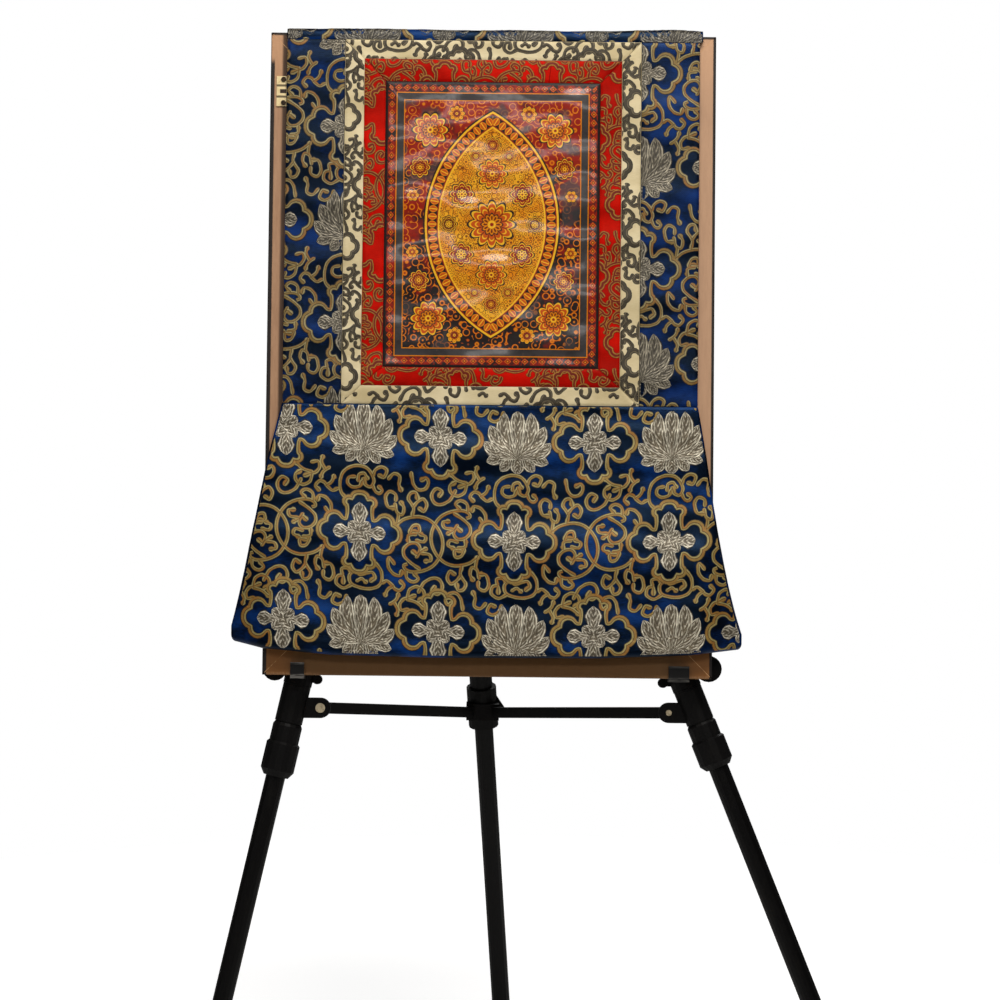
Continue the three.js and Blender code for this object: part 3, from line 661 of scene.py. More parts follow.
def makeHeading():
    lifts = [{"at": -120, "reach": 55, "rise": 0.9}, {"at": 30, "reach": 45, "rise": 0.7},
             {"at": 178, "reach": 55, "rise": 2.6}]
    bend = board["height"] + cloth["gap"] - board["clear"]
    path = [(board["depth"], z, 0) for z in np.linspace(634, bend, 5)[:-1]]
    path += [(board["depth"], bend, turn) for turn in range(0, 91, 10)]
    path += [(y, bend, 90) for y in (16, 11, 6)]
    path += [(0, bend, turn) for turn in range(90, 181, 10)]
    seam = cloth["headSeam"] + cloth["gap"] / 2
    path += [(0, z, 180) for z in (655.4, 654, 653, 652.5, seam)]
    x = np.linspace(-212, 215, 150)
    swell = sum(f["rise"] * np.exp(-(((x - f["at"]) / f["reach"]) ** 2)) for f in lifts)
    swell = swell + 1.4 + 0.25 * (1 + np.sin(x * 0.11) * np.sin(x * 0.037 + 1))
    layers = []
    for thick in (cloth["thick"], 0.0):
        rows = []
        for y, z, turn in path:
            angle = math.radians(turn)
            reach = board["clear"] + thick
            dip = 0.7 * math.exp(-(((z - seam) / 1.3) ** 2)) if turn == 180 and thick else 0
            depths = np.full(len(x), y + (reach - dip) * math.cos(angle))
            rows.append(np.stack([x, depths, z + (reach + swell) * math.sin(angle)], -1))
        layers.append(np.stack(rows, 1).reshape(-1, 3))
    lengths = np.concatenate([[0], np.cumsum(np.linalg.norm(np.diff(layers[0][: len(path)], axis=0), axis=1))])
    uv = np.stack([np.repeat(x, len(path)), np.tile(lengths[::-1], len(x))], -1) / 1000
    faces = gridFaces(len(x) - 1, len(path) - 1)
    item = addMesh("headingBand", toWorld(np.concatenate(layers)), faces, np.concatenate([uv, uv]), [blueSatin])
    radius = board["clear"] + cloth["thick"]

    def lay(xs, lift, zs):
        run = zs - bend
        angle = np.pi - np.clip(run / radius, 0, np.pi / 2)
        rise = np.interp(xs, x, swell)
        flatRun = np.clip(run - radius * np.pi / 2, 0, None)
        ys = (radius + lift) * np.cos(angle) + flatRun
        return np.stack([xs, ys, np.minimum(zs, bend) + (radius + lift + rise) * np.sin(angle)], -1)

    return {"item": item, "corners": rectangle(-211, 214, 652.4, 684), "lay": lay, "flat": (0.427, 0.078), "area": None}


panels["heading"] = makeHeading()
print("skirt and heading made")

# Brocade: one repeat charted about a cross, x to the right and y up; one unit is 1.02 mm

brocade = {
    "unit": 1.02, "repeat": (154.0, 198.0), "ringsAt": (77.3, -3.5), "partner": (79.5, -95.0), "lotusAt": (2.5, -96.0),
    "rings": [(37, 11), (45.4, 17.3), (57.7, 20.4), (68, 18.4), (76, 12.2), (81.5, 3), (83.2, -7), (81, -17.8),
              (74, -28.6), (63, -34.9), (52, -36.4), (46, -34), (45, -30.4), (48.4, -28.8)],
    "turned": [  # drawn twice, the second half a turn about the linked rings
        [(59.7, -32.4), (52, -27.6), (45.4, -21.4), (44.4, -14.3), (49.5, -8.2), (56.6, -7.1), (60.7, -12.2),
         (57.7, -18.4), (54.4, -16)],
        [(57.7, -20.4), (61.7, -15), (65.8, -12.5)], [(63, -17), (70, -18), (71.4, -23.5), (67, -24.4)],
        [(50.2, 4), (53, 10.2), (58.7, 11.2), (59.4, 5.1), (55.2, 5)], [(55.6, 2), (49.5, 0.6), (48.8, -4.4)],
        [(57.7, -4), (64.2, -5), (66, 0), (61.4, 2.4)],
        [(35.7, 36.2), (35.2, 41.8), (29, 43.9), (25.5, 37.8), (28, 28.6), (33, 27.6)],
        [(35.2, 31), (37.2, 23.5), (42.3, 21.4), (43.9, 28.6), (41.3, 33)], [(38.6, 21), (38, 16), (37, 11.5)],
        [(52.6, 21.5), (53.6, 29.6), (48.5, 37.8), (50.5, 43.9), (55.6, 44.9), (57, 40)],
        [(53.6, 30.6), (58.2, 36.2), (63.4, 38.8), (66.6, 32.7), (63.8, 26.5), (60.4, 28.4)],
        [(94.6, 49), (89, 39), (79.4, 34.2), (73, 37.4), (71.8, 44.9), (76.4, 50.4), (81.4, 48), (79.4, 44)],
        [(34.6, -29), (30, -23.6), (29.2, -32), (33.6, -39), (40.6, -41.4), (42.4, -37.6)],
        [(47, -37), (48, -43.4), (54.4, -46.6), (59, -43), (56, -39)],
        [(23.5, -49.6), (28, -47.6), (33, -51), (36.2, -55), (41.3, -56), (44.8, -51), (42.3, -47.8)],
        [(33.4, -53), (29, -56.4), (27, -61.4)],
        [(32, -70.4), (37.2, -66.3), (39.3, -61.2)], [(36.2, -70), (39.3, -76), (38.3, -80.6)],
        [(48.5, -75), (42.6, -76), (41.3, -70), (45, -65), (50, -63), (55, -61)],
        [(50.5, -65.3), (57.7, -67.3), (63.8, -72)],
        [(12.8, 59.4), (15.4, 65.2), (21.6, 68.4), (26.4, 65), (23.6, 58.4), (20, 59.4)],
        [(28.8, 57.6), (33.6, 62.6), (39.4, 60), (38.6, 52.6), (40.4, 47)],
        [(51, 64), (53, 54), (57.5, 48.5), (64, 49), (68, 55), (66, 60.4), (62, 58.6)],
        [(105.6, 57.4), (104.4, 49), (98, 44.4), (91, 47), (89.4, 53.6), (93.4, 57)],
    ],
    "single": [  # an arch over each cross, and a loop below it, with the sprays in them
        [(-14.3, 34.6), (-18.9, 40), (-20, 49), (-17.6, 59), (-11, 65.4), (-2, 68), (6.6, 66), (11.6, 60), (13.6, 53),
         (10.6, 47.6), (5.6, 49), (3.6, 54)],
        [(12.6, 48.6), (15.4, 43), (19.4, 41.6), (22, 44.6), (19.4, 47.4)],
        [(-6, 56.4), (-11.4, 55), (-12.2, 49.4), (-7.7, 45.9), (-1, 47), (1.6, 51.4)],
        [(-2, 53.4), (-1, 59), (4, 60.4), (6.6, 56.4)],
        [(16.8, -30.6), (22, -37.8), (23, -47), (18.9, -54), (8.7, -57.1), (-3.6, -55.1), (-8.7, -51), (-8.7, -43.9),
         (-3.6, -40.8), (1.5, -43.4), (8.7, -41), (13.8, -40.3), (15.8, -45), (12.8, -48)],
        [(-1, -49.6), (3, -47.4), (6.6, -50)],
        [(-7, -54), (-14.8, -58.2), (-21.9, -54), (-21, -47), (-15.8, -46), (-15.3, -52)],
        [(-16.3, -44), (-16.8, -38.8), (-11.7, -37.8), (-8, -41)],
    ],
    "arms": [((26.5, 0), 18, "rosette"), ((-26.5, 0), 18, "rosette"), ((0, 31), 20, "arm"), ((0, -30.5), 20, "arm")],
    "heart": {"reach": 14.5, "wide": 17},
    "petals": [  # of the lotus, from the back one on; a side petal is mirrored
        {"root": (0, -12), "tip": (0, -33), "wide": 17, "bend": 0, "lift": 0.1},
        {"root": (7, -10), "tip": (17, -30), "wide": 14, "bend": -2, "lift": 0.13},
        {"root": (10, -6), "tip": (31, -21), "wide": 15, "bend": -3, "lift": 0.16},
        {"root": (2, -15), "tip": (33.5, 0), "wide": 16, "bend": -5, "lift": 0.2},
        {"root": (1, -16), "tip": (27.5, 17), "wide": 18, "bend": -4, "lift": 0.25},
        {"root": (1, -16), "tip": (13, 31), "wide": 19, "bend": -6, "lift": 0.3},
        {"root": (0, -18), "tip": (0, 32), "wide": 17, "bend": 0, "lift": 0.36, "form": "arch"},
    ],
}


def arcThrough(start, middle, end, count=9):
    (ax, ay), (bx, by), (cx, cy) = start, middle, end
    d = 2 * (ax * (by - cy) + bx * (cy - ay) + cx * (ay - by))
    ux = ((ax**2 + ay**2) * (by - cy) + (bx**2 + by**2) * (cy - ay) + (cx**2 + cy**2) * (ay - by)) / d
    uy = ((ax**2 + ay**2) * (cx - bx) + (bx**2 + by**2) * (ax - cx) + (cx**2 + cy**2) * (bx - ax)) / d
    radius = math.hypot(ax - ux, ay - uy)
    first, mid, last = (math.atan2(y - uy, x - ux) for x, y in (start, middle, end))
    sweep = (last - first) % (2 * math.pi)
    if (mid - first) % (2 * math.pi) > sweep:
        sweep -= 2 * math.pi
    angles = first + np.linspace(0, 1, count) * sweep
    return np.stack([ux + radius * np.cos(angles), uy + radius * np.sin(angles)], -1)


def quatrefoil():
    quarter = [((40.6, 0), (38.8, 6.2), (33.4, 9.6)), ((33.4, 9.6), (27.6, 18.6), (18.6, 15.4)),
               ((18.6, 15.4), (16, 13), (13.6, 12.6)), ((13.6, 12.6), (12.4, 19), (13, 26.6)),
               ((13, 26.6), (14.8, 32.6), (8.2, 34.6)), ((8.2, 34.6), (5.4, 39.4), (0, 40.8))]
    path = np.concatenate([arcThrough(*arc)[:-1] for arc in quarter])
    half = np.concatenate([path, [(0, 40.8)], (path * [-1, 1])[::-1]])
    return np.concatenate([half, (half * [1, -1])[::-1][1:]])


def flow(points, steps=6):
    p = np.array(points, float)
    p = np.concatenate([[2 * p[0] - p[1]], p, [2 * p[-1] - p[-2]]])
    t = np.linspace(0, 1, steps, endpoint=False)[:, None]
    spans = []
    for a, b, c, d in zip(p[:-3], p[1:-2], p[2:-1], p[3:]):
        spans.append(0.5 * (2 * b + (c - a) * t + (2 * a - 5 * b + 4 * c - d) * t**2 + (3 * b - a - 3 * c + d) * t**3))
    return np.concatenate(spans + [p[-2:-1]])


def scrollWidth(count, wide):
    t = np.linspace(0, 1, count)
    knobs = 0.4 * np.exp(-((t / 0.1) ** 2)) + 0.75 * np.exp(-(((1 - t) / 0.1) ** 2))
    return wide * (0.78 + 0.28 * np.sin(np.pi * t) + knobs)


petalForms = {  # half width along a petal, as shares of its widest
    "pointed": ([0, 0.3, 0.6, 0.8, 0.92, 1], [0.4, 0.78, 1, 0.82, 0.46, 0.03]),
    "arm": ([0, 0.25, 0.42, 0.66, 0.86, 1], [0.7, 0.62, 0.66, 1, 0.62, 0.03]),
    "arch": ([0, 0.3, 0.6, 0.82, 0.94, 1], [0.3, 0.55, 0.9, 1, 0.7, 0.15]),
    "rosette": ([0, 0.3, 0.46, 0.7, 0.9, 1], [0.66, 0.6, 0.5, 1, 0.7, 0.05]),
}


def petalStroke(root, tip, wide, bend=0.0, form="pointed"):
    share = np.linspace(0, 1, 17)
    root, tip = np.array(root, float), np.array(tip, float)
    along = tip - root
    side = np.array([-along[1], along[0]]) / np.hypot(*along)
    path = root + share[:, None] * along + side * (bend * np.sin(share * math.pi))[:, None]
    return path, wide * np.interp(share, *petalForms[form])


def repeatStrokes():
    made, unit = [], brocade["unit"]

    def add(path, width, kind, lift, scallop=0.0):
        path = np.asarray(path, float)
        width = np.broadcast_to(np.asarray(width, float), len(path))
        if scallop:  # round ends
            reach, form = np.array([0.5, 0.85, 1.0]), np.array([0.87, 0.53, 0.06])
            head, tail = path[0] - path[1], path[-1] - path[-2]
            head, tail = (end / np.hypot(*end) for end in (head, tail))
            head = path[0] + head * reach[::-1, None] * width[0] / 2
            tail = path[-1] + tail * reach[:, None] * width[-1] / 2
            path = np.concatenate([head, path, tail])
            width = np.concatenate([form[::-1] * width[0], width, form * width[-1]])
        made.append({"path": path * unit, "width": width * unit, "kind": kind, "lift": lift, "scallop": scallop})

    for middle in ((0, 0), brocade["partner"]):
        frameLine = quatrefoil()
        add(frameLine + middle, 4.2 + 2.2 * smooth(np.hypot(*frameLine.T), 20, 36), 0, 0.34)
        for tip, wide, form in brocade["arms"]:
            path, wides = petalStroke((0, 0), tip, wide, 0, form)
            add(path + middle, wides, 2, 0.3)
        heart = brocade["heart"]
        for turn in (45, 135):
            way = np.array([math.cos(math.radians(turn)), math.sin(math.radians(turn))]) * heart["reach"]
            path = petalStroke(-way, way, heart["wide"])[0]
            add(path + middle, heart["wide"] * np.sqrt(1 - np.linspace(-0.98, 0.98, len(path)) ** 2), 2, 0.36)
    lotus = np.array(brocade["lotusAt"])
    body, wides = petalStroke((0, -23), (0, 27), 44)
    add(body + lotus, wides, 1, 0.08)
    for petal in brocade["petals"]:
        for sign in ((1, -1) if petal["tip"][0] else (1,)):
            tip = (petal["tip"][0] * sign, petal["tip"][1])
            root = (petal["root"][0] * sign, petal["root"][1])
            path, wides = petalStroke(root, tip, petal["wide"], petal["bend"] * sign, petal.get("form", "pointed"))
            add(path + lotus, wides, 1, petal["lift"] + (0.015 if sign > 0 else 0))
    rings = np.array(brocade["ringsAt"])
    path = flow(brocade["rings"])
    add(path, 4.3, 0, 0.26)
    add(2 * rings - path, 4.3, 0, 0.26)
    for points in brocade["turned"]:
        path = flow(points)
        wide = scrollWidth(len(path), 4.0)
        add(path, wide, 0, 0.26, 0.22)
        add(2 * rings - path, wide, 0, 0.26, 0.22)
    for points in brocade["single"]:
        path = flow(points)
        add(path, scrollWidth(len(path), 3.9), 0, 0.26, 0.16)
    return made


strokes = repeatStrokes()


def strokeMesh(stroke, scale, shift, widthScale):
    path = stroke["path"] * scale + shift
    along = np.gradient(path, axis=0)
    along /= np.maximum(np.linalg.norm(along, axis=1, keepdims=True), 1e-6)
    side = np.stack([-along[:, 1], along[:, 0]], -1)
    half = stroke["width"][:, None] * scale * (1.0 if stroke["kind"] else widthScale) / 2
    length = np.concatenate([[0], np.cumsum(np.linalg.norm(np.diff(path, axis=0), axis=1))])
    run = length / (length[-1] if stroke["kind"] else 10.0)
    bulge = (0.5 - 0.5 * np.cos(length / 8.5 * 2 * np.pi))[:, None] * stroke["scallop"]
    turning = np.sign(np.sum(along[:-1, 0] * along[1:, 1] - along[:-1, 1] * along[1:, 0]) or 1)
    points, uvs = [], []
    for across, rise in ((1, 0.0), (0.6, 0.75), (0, 1.0), (-0.6, 0.75), (-1, 0.0)):
        outer = 1 + bulge if across * turning < 0 else 1
        place = path + side * half * across * outer
        lift = np.full(len(path), stroke["lift"] * (0.3 + 0.7 * rise))
        points.append(np.stack([place[:, 0], lift, place[:, 1]], -1))
        uvs.append(np.stack([run, np.full(len(path), 0.5 + across / 2)], -1))
    points, uvs = np.stack(points, 1).reshape(-1, 3), np.stack(uvs, 1).reshape(-1, 2)
    at = np.arange(len(path) * 5).reshape(len(path), 5)
    faces = np.stack([at[:-1, :-1], at[:-1, 1:], at[1:, 1:], at[1:, :-1]], -1).reshape(-1, 4)
    return points, uvs, faces


def weave(name, panel, origin, finishes, stretch=1.0, widthScale=1.0, margin=0.0, sparse=False, plain=False, scale=1.0):
    corners = inset(panel["corners"], margin) if margin else panel["corners"]
    low, high = np.min(corners, 0), np.max(corners, 0)
    step = np.array(brocade["repeat"]) * brocade["unit"] * scale
    points, uvs, faces, kinds, count = [], [], [], [], 0
    for i in range(-6, 7):
        for j in range(-6, 7):
            shift = np.array(origin) + step * (i, j * stretch)
            if np.any(shift + 1.2 * step < low) or np.any(shift - 1.2 * step > high):
                continue
            for number, stroke in enumerate(strokes):
                if sparse and stroke["scallop"] and number % 5 in (1, 3) or plain and stroke["kind"]:
                    continue
                p, w, f = strokeMesh(stroke, scale, shift, widthScale)
                p[:, 2] = shift[1] + (p[:, 2] - shift[1]) * stretch
                if "sag" in panel:
                    p[:, 2] += np.polyval(panel["sag"], p[:, 0])
                if stroke["kind"] == 1 and p[:, 0].mean() < panel.get("bare", -1e9):
                    continue
                if "square" in panel:
                    p[:, 0] = panel["square"](p[:, 0], p[:, 2])
                if np.any(p[:, [0, 2]].max(0) < low) or np.any(p[:, [0, 2]].min(0) > high):
                    continue
                points.append(p)
                uvs.append(w)
                faces.append(f + count)
                kinds.append(np.full(len(f), stroke["kind"]))
                count += len(p)
    points, faces, uvs, kinds = (np.concatenate(part) for part in (points, faces, uvs, kinds))
    item = addMesh(name, points, faces, uvs, finishes, kinds)
    shape = bmesh.new()
    shape.from_mesh(item.data)
    for (ax, az), (bx, bz) in zip(corners, corners[1:] + corners[:1]):
        every = shape.verts[:] + shape.edges[:] + shape.faces[:]
        bmesh.ops.bisect_plane(shape, geom=every, plane_co=(ax, 0, az), plane_no=(bz - az, 0, ax - bx),
                               clear_outer=True)
    shape.to_mesh(item.data)
    shape.free()
    flat = np.empty(len(item.data.vertices) * 3)
    item.data.vertices.foreach_get("co", flat)
    x, lift, z = flat.reshape(-1, 3).T
    if "flare" in panel:
        x = panel["flare"](x, z)
    if "lay" in panel:
        laid = panel["lay"](x, lift, z)
    else:
        laid = np.stack([x, panel["front"](x, z, panel["corners"]) - lift, z], -1)
    item.data.vertices.foreach_set("co", toWorld(laid).ravel())
    item.data.update()
    panel.setdefault("on", []).append(item)


goldSilver = [goldThread, silverThread, silverCross]
shaded = [shadedGold, shadedSilver, shadedSilver]
headingShade = [shadedGold, dimSilver, dimSilver]
weave("skirtFigures", panels["skirt"], (-131, 142), goldSilver, stretch=0.975, widthScale=1.08, margin=0.8)
weave("headingFigures", panels["heading"], (25, 762), headingShade)
weave("sideFigures_left", panels["side_left"], (-150, 562), shaded, margin=0.3)
weave("sideFigures_right", panels["side_right"], (150.5, 418), shaded, margin=0.3)
creamThreads = [oliveThread, greyPetal, greyPetal]
creamWeave = {
    "top": {"origin": (30, 690), "scale": 0.85},
    "bottom": {"origin": (-10, 330), "scale": 0.85, "sparse": True},
    "left": {"origin": (-218, 502), "scale": 0.66, "widthScale": 1.2, "plain": True},
    "right": {"origin": (60, 455), "scale": 0.66, "widthScale": 1.4, "plain": True},
}
redOrigins = {"top": (60, 600), "bottom": (20, 352), "left": (-60, 500), "right": (90, 410)}
for side, chart in creamWeave.items():
    weave("creamFigures_" + side, panels["cream_" + side], finishes=creamThreads, margin=0.3, **chart)
for side, origin in redOrigins.items():
    weave("redFigures_" + side, panels["red_" + side], origin, [dullGold], widthScale=1.35, margin=0.3, plain=True,
          scale=0.7)
print("brocade woven")

# Hem and seam stitches

stitches = {"spacing": 0.0038, "length": 0.0026, "thread": 0.00045, "above": 12.4, "below": 3.6}


def stitchRow(name, path, finish):
    tree = bpy.data.node_groups.new(name + "Tree", "GeometryNodeTree")
    socket = tree.interface.new_socket
    socket("Path", in_out="INPUT", socket_type="NodeSocketGeometry")
    inputs = {label: socket(label, in_out="INPUT", socket_type="NodeSocketFloat").identifier
              for label in ("Spacing", "Stitch Length", "Thread Width")}
    socket("Stitches", in_out="OUTPUT", socket_type="NodeSocketGeometry")
    start, end = tree.nodes.new("NodeGroupInput"), tree.nodes.new("NodeGroupOutput")
    kinds = ("MeshToCurve", "CurveToPoints", "MeshUVSphere", "Transform", "InstanceOnPoints", "RealizeInstances",
             "SetMaterial")
    curve, dots, ball, shape, copies, real, paint = (tree.nodes.new("GeometryNode" + kind) for kind in kinds)
    size = tree.nodes.new("ShaderNodeCombineXYZ")
    dots.mode = "LENGTH"
    ball.inputs["Segments"].default_value, ball.inputs["Rings"].default_value = 8, 5
    ball.inputs["Radius"].default_value = 0.5
    paint.inputs["Material"].default_value = finish
    for source, out, target, into in (
        (start, "Path", curve, "Mesh"), (curve, "Curve", dots, "Curve"), (start, "Spacing", dots, "Length"),
        (start, "Thread Width", size, "X"), (start, "Thread Width", size, "Y"), (start, "Stitch Length", size, "Z"),
        (ball, "Mesh", shape, "Geometry"), (size, "Vector", shape, "Scale"), (dots, "Points", copies, "Points"),
        (shape, "Geometry", copies, "Instance"), (dots, "Rotation", copies, "Rotation"),
        (copies, "Instances", real, "Geometry"), (real, "Geometry", paint, "Geometry"),
        (paint, "Geometry", end, "Stitches"),
    ):
        tree.links.new(source.outputs[out], target.inputs[into])
    guide = bpy.data.meshes.new(name + "Path")
    guide.from_pydata([tuple(point) for point in path], [(i, i + 1) for i in range(len(path) - 1)], [])
    item = attach(name, guide)
    row = item.modifiers.new("stitches", "NODES")
    row.node_group = tree
    for label, size in (("Spacing", "spacing"), ("Stitch Length", "length"), ("Thread Width", "thread")):
        row[inputs[label]] = stitches[size]
    made = bpy.data.meshes.new_from_object(item.evaluated_get(bpy.context.evaluated_depsgraph_get()))
    item.modifiers.remove(row)
    item.data = made
    made.name = name
    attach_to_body(item, "root")
    return item


def skirtLine(x, z):
    return toWorld(np.stack([x, skirtFront(x, z, None) - 0.12, z], -1))


hemAcross, seamAcross = np.linspace(-256, 254, 160), np.linspace(-210, 210, 120)
seamHeight = np.full(len(seamAcross), cloth["skirtSeam"] - stitches["below"])
panels["skirt"]["on"] += [
    stitchRow("hemStitches", skirtLine(hemAcross, skirtRoll(hemAcross) + stitches["above"]), blueSatin),
    stitchRow("seamStitches", skirtLine(seamAcross, seamHeight), blueSatin),
]
print("stitches made")

# What the sheets replace

for node, panel in panels.items():
    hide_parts(node)
    rests = ["board_rail_top"] if node == "heading" else []
    for piece in [panel["item"]] + panel.get("on", []):
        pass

# Support: the finish of each solid that stays; heights and sides, in metres, of the wood's bands: painted shadows,
# rubbed foot and dark edge strips

woodBands = {"railTop": (0.538, 0.53), "railFoot": (0.504, 0.5015), "top": (1.1496, 1.1512), "edge": (0.2247, 0.2258),
          "beside": -0.2142}


def woodFinish(name, jointLine=False):
    made = Finish(name, Specular_IOR_Level=0.35)
    place = made.place()
    sideways, _, height = place.axes()
    lateral = sideways + board["origin"][0] / -1000
    across = abs(lateral - 0.0006)
    grain = place.stretch(60, 60, 3.2).noise(4.0, 4.0, 0.65)
    pore = place.stretch(420, 420, 16).noise(2.0, 2.0, 0.6)
    blotch = place.noise(9.0, 3.0, 0.6)
    tone = grain.ramp(0.2, 0.8).mix(colour(172, 130, 98), colour(190, 147, 113))
    tone = (pore.ramp(0.55, 0.75) * 0.22).mix(tone, colour(140, 100, 72))
    tone = (blotch.ramp(0.45, 0.8) * 0.3).mix(tone, colour(160, 120, 92))
    # painted light: the wood is painted lighter towards the board's top and on its right-hand rail
    tone = (height.ramp(1.06, 1.15) * 0.5).mix(tone, colour(222, 168, 124))
    tone = (lateral.ramp(0.1, 0.2) * 0.35).mix(tone, colour(222, 180, 146))
    # painted shadow: the bottom rail is darkened where the skirt's hem shades it, less so towards its ends
    hemShadow = height.ramp(*woodBands["railTop"])
    tone = (hemShadow * 0.9).mix(tone, colour(98, 62, 7))
    tone = (hemShadow * across.ramp(0.185, 0.215) * 0.3).mix(tone, colour(176, 108, 48))
    rubbed = height.ramp(*woodBands["railFoot"]) * across.ramp(0.16, 0.2) * pore.ramp(0.3, 0.6)
    tone = (rubbed * 0.6).mix(tone, colour(170, 128, 88))
    outer = across.ramp(*woodBands["edge"]) * height.ramp(1.128, 1.12).higher(lateral.ramp(0, 0.01))
    tone = outer.mix(tone, colour(30, 22, 17))
    # painted shadow: a dark band on the left rail beside the cloth's edge
    clothEdgeShadow = lateral.band(woodBands["beside"], 0.0024, 0.0014) * height.ramp(0.535, 0.545)
    tone = (clothEdgeShadow * 0.9).mix(tone, colour(58, 36, 20))
    tone = height.ramp(*woodBands["top"]).mix(tone, colour(40, 28, 20))
    if jointLine:
        v = made.uv()[2]
        tone = (v.band(0.5, 0.06, 0.05) * grain.ramp(0.3, 0.6)).mix(tone, colour(214, 164, 112))
    made.link(Base_Color=tone, Roughness=pore * 0.2 + 0.46)
    made.bump(grain * 0.3 + pore * 0.7, 0.3, 0.0004)
    return made.material


def blackFinish(name, tone, worn, roughness, grainScale, depth):
    made = Finish(name, Specular_IOR_Level=0.16)
    place = made.place()
    grain = place.noise(grainScale, 3.0, 0.7)
    dust = place.stretch(30, 30, 5).noise(5.0, 4.0, 0.7)
    made.link(Base_Color=dust.ramp(0.45, 0.85).mix(tone, worn), Roughness=grain * 0.16 + dust * 0.12 + roughness)
    made.bump(grain, 0.4, depth)
    return made.material


lip = {"top": (0.5105, 0.5128), "foot": (0.5024, 0.5006)}


def pegFinish():  # black paint, rubbed through at the lip's ends
    made = Finish("rubbedPeg", Specular_IOR_Level=0.3)
    place = made.place()
    sideways, _, height = place.axes()
    scuff = place.stretch(60, 60, 700).noise(1.0, 3.0, 0.6)
    ends = height.ramp(*lip["top"]).higher(height.ramp(*lip["foot"]))
    bare = ends * scuff.ramp(0.35, 0.65) * (sideways.ramp(0.05, -0.05) * 0.65 + 0.35)  # the left one is rubbed more
    made.link(Base_Color=(bare * 0.75).mix(colour(12, 11, 10), colour(150, 146, 140)), Roughness=scuff * 0.3 + 0.32,
              Metallic=bare * 0.7)
    made.bump(scuff, 0.3, 0.0003)
    return made.material


def metalFinish(name, tone, tarnish, roughness, metal=1.0, slot=None):
    made = Finish(name, Metallic=metal)
    place = made.place()
    brush = place.stretch(900, 900, 60).noise(1.0, 3.0, 0.6)
    spot = place.noise(240, 4.0, 0.7)
    tone = spot.ramp(0.45, 0.75).mix(tone, tarnish)
    if slot:
        sideways, _, height = place.axes()
        hole = abs(sideways - slot[0]).ramp(0.0034, 0.003) * abs(height - slot[1]).ramp(0.0022, 0.0018)
        grooves = abs(abs(height - slot[1]) - 0.0057).ramp(0.0012, 0.0008)
        tone = hole.higher(grooves * 0.8).mix(tone, colour(44, 26, 10))
    made.link(Base_Color=tone, Roughness=brush * 0.2 + spot * 0.15 + roughness)
    made.bump(brush + spot, 0.25, 0.0002)
    return made.material


tubeBlack = blackFinish("blackTube", colour(3, 2, 2), colour(11, 9, 6), 0.3, 700, 0.0001)
mouldBlack = blackFinish("mouldedBlack", colour(4, 3, 3), colour(15, 13, 10), 0.42, 1100, 0.0003)
rubberBlack = blackFinish("rubberBlack", colour(14, 13, 12), colour(40, 38, 35), 0.62, 800, 0.0004)
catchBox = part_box("catch_plate")
catchSlot = (catchBox[1][0] - 0.0034, (catchBox[0][2] + catchBox[1][2]) / 2)
brassPlate = metalFinish("brassPlate", colour(238, 216, 164), colour(214, 186, 126), 0.36, 0.25, catchSlot)
darkScrew = metalFinish("darkScrew", colour(52, 36, 20), colour(26, 18, 10), 0.4, 0.6)
steelBright = metalFinish("steelBright", colour(222, 206, 172), colour(168, 150, 118), 0.4, 0.45)
oiledWood, joinedWood = woodFinish("oiledWood"), woodFinish("joinedWood", True)
rubbedPeg = pegFinish()
finishOf = {"board_": oiledWood, "catch_plate": brassPlate, "catch_screw": darkScrew, "rivet": steelBright,
            "brace": tubeBlack, "knob": mouldBlack, "head": mouldBlack, "peg": rubbedPeg}
tubeEnds = {"upper": tubeBlack, "lower": tubeBlack, "clamp": mouldBlack, "joint": mouldBlack, "collar": mouldBlack,
            "hub": mouldBlack, "foot": rubberBlack}
for node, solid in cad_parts.items():
    if node in panels:
        continue
    chosen = next((finish for start, finish in finishOf.items() if node.startswith(start)), None)
    if node.startswith("leg_"):
        chosen = tubeEnds[node.rsplit("_", 1)[1]]
    solid.data.materials.clear()
    solid.data.materials.append(chosen)
mitres = {"half": 229, "height": 660, "rail": 32, "round": 2.15, "wide": 2.05, "set": 0.06, "deep": 1.9, "tip": 0.05}


def mitreFills():  # glue and wax level the four mitred corners, front and back
    points, uvs, faces = [], [], []
    reach = (mitres["rail"] - 2 * mitres["round"]) * math.sqrt(2)
    for sideways in (-1, 1):
        for upper in (False, True):
            for back in (False, True):
                inward = 1 - 2 * upper
                cornerZ = mitres["height"] * upper + mitres["round"] * inward
                corner = np.array([sideways * (mitres["half"] - mitres["round"]), cornerZ])
                way = np.array([-sideways, inward]) / math.sqrt(2)
                side = np.array([-way[1], way[0]])
                start = len(points)
                tip, wide = mitres["tip"], mitres["wide"]
                for run in (tip, wide, reach / 2, reach - wide, reach - tip):
                    half = min(wide, run, reach - run)
                    deep = mitres["set"] + (mitres["deep"] - mitres["set"]) * half / wide
                    for share, depth in ((-1, mitres["set"]), (1, mitres["set"]), (0, deep)):
                        x, z = corner + way * run + side * half * share
                        points.append((x, board["depth"] - depth if back else depth, z))
                        uvs.append((run / 100, 0.5 + 0.5 * share * half / wide))
                rows = [(start + 3 * k + a, start + 3 * k + b, start + 3 * k + 3 + b, start + 3 * k + 3 + a)
                        for k in range(4) for a, b in ((0, 1), (1, 2), (2, 0))]
                faces += rows + [(start, start + 2, start + 1), (start + 12, start + 13, start + 14)]
    item = addMesh("mitreFills", toWorld(points), faces, uvs, [joinedWood], smoothShade=False)
    shape = bmesh.new()
    shape.from_mesh(item.data)
    bmesh.ops.recalc_face_normals(shape, faces=shape.faces[:])
    shape.to_mesh(item.data)
    shape.free()


mitreFills()
plugs = {"reach": 0.0013, "share": 0.93, "near": 2e-4, "sides": 24}


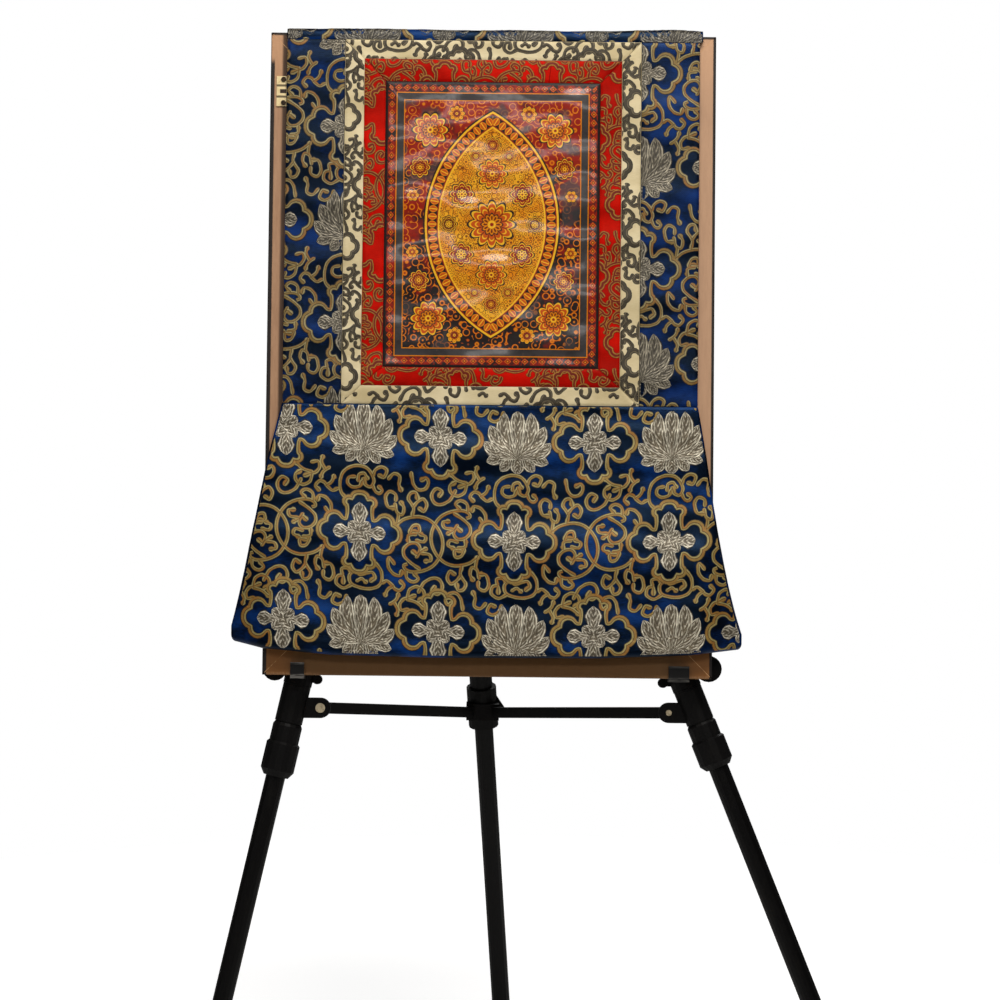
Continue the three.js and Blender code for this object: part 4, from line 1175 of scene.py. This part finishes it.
def tubePlugs():  # the tubes run on inside their sockets
    shape = bmesh.new()
    for node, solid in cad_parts.items():
        if not node.startswith("leg_") or not node.endswith(("_upper", "_lower")):
            continue
        points = np.array([tuple(solid.matrix_world @ vertex.co) for vertex in solid.data.vertices])
        middle = points.mean(0)
        axis = np.linalg.svd(points - middle)[2][0]
        along = (points - middle) @ axis
        for end in (along.min(), along.max()):
            ring = points[np.abs(along - end) < plugs["near"]]
            radius = np.linalg.norm(ring - ring.mean(0), axis=1).max() * plugs["share"]
            place = Matrix.Translation(middle + axis * end) @ Vector(axis).to_track_quat("Z", "Y").to_matrix().to_4x4()
            bmesh.ops.create_cone(shape, cap_ends=True, segments=plugs["sides"], radius1=radius, radius2=radius,
                                  depth=2 * plugs["reach"], matrix=place)
    mesh = bpy.data.meshes.new("tubePlugs")
    shape.to_mesh(mesh)
    shape.free()
    mesh.materials.append(tubeBlack)
    item = attach("tubePlugs", mesh)
    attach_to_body(item, "root")


tubePlugs()
print("support finished")

# Floor

floorPlan = {"radius": 1.5, "sides": 96, "glow": 0.68}
floorFinish = Finish("paleFloor", Roughness=0.85, Specular_IOR_Level=0.2)
floorFinish.link(Base_Color=floorFinish.place().noise(3.0).mix(colour(244, 244, 243), colour(249, 249, 248)))
floorTree = floorFinish.tree
glow = floorTree.nodes.new("ShaderNodeEmission")
glow.inputs["Strength"].default_value = floorPlan["glow"]
lit = floorTree.nodes.new("ShaderNodeAddShader")
shown = floorTree.nodes.new("ShaderNodeMixShader")
floorTree.links.new(floorFinish.shader.outputs[0], lit.inputs[0])
floorTree.links.new(glow.outputs[0], lit.inputs[1])
floorTree.links.new(floorTree.nodes.new("ShaderNodeLightPath").outputs["Is Camera Ray"], shown.inputs[0])
floorTree.links.new(floorFinish.shader.outputs[0], shown.inputs[1])
floorTree.links.new(lit.outputs[0], shown.inputs[2])
floorTree.links.new(shown.outputs[0], floorTree.nodes["Material Output"].inputs["Surface"])
floorShape = bmesh.new()
bmesh.ops.create_circle(floorShape, cap_ends=True, radius=floorPlan["radius"], segments=floorPlan["sides"])
floorMesh = bpy.data.meshes.new("floor")
floorShape.to_mesh(floorMesh)
floorShape.free()
floorMesh.materials.append(floorFinish.material)
floor = attach("floor", floorMesh)
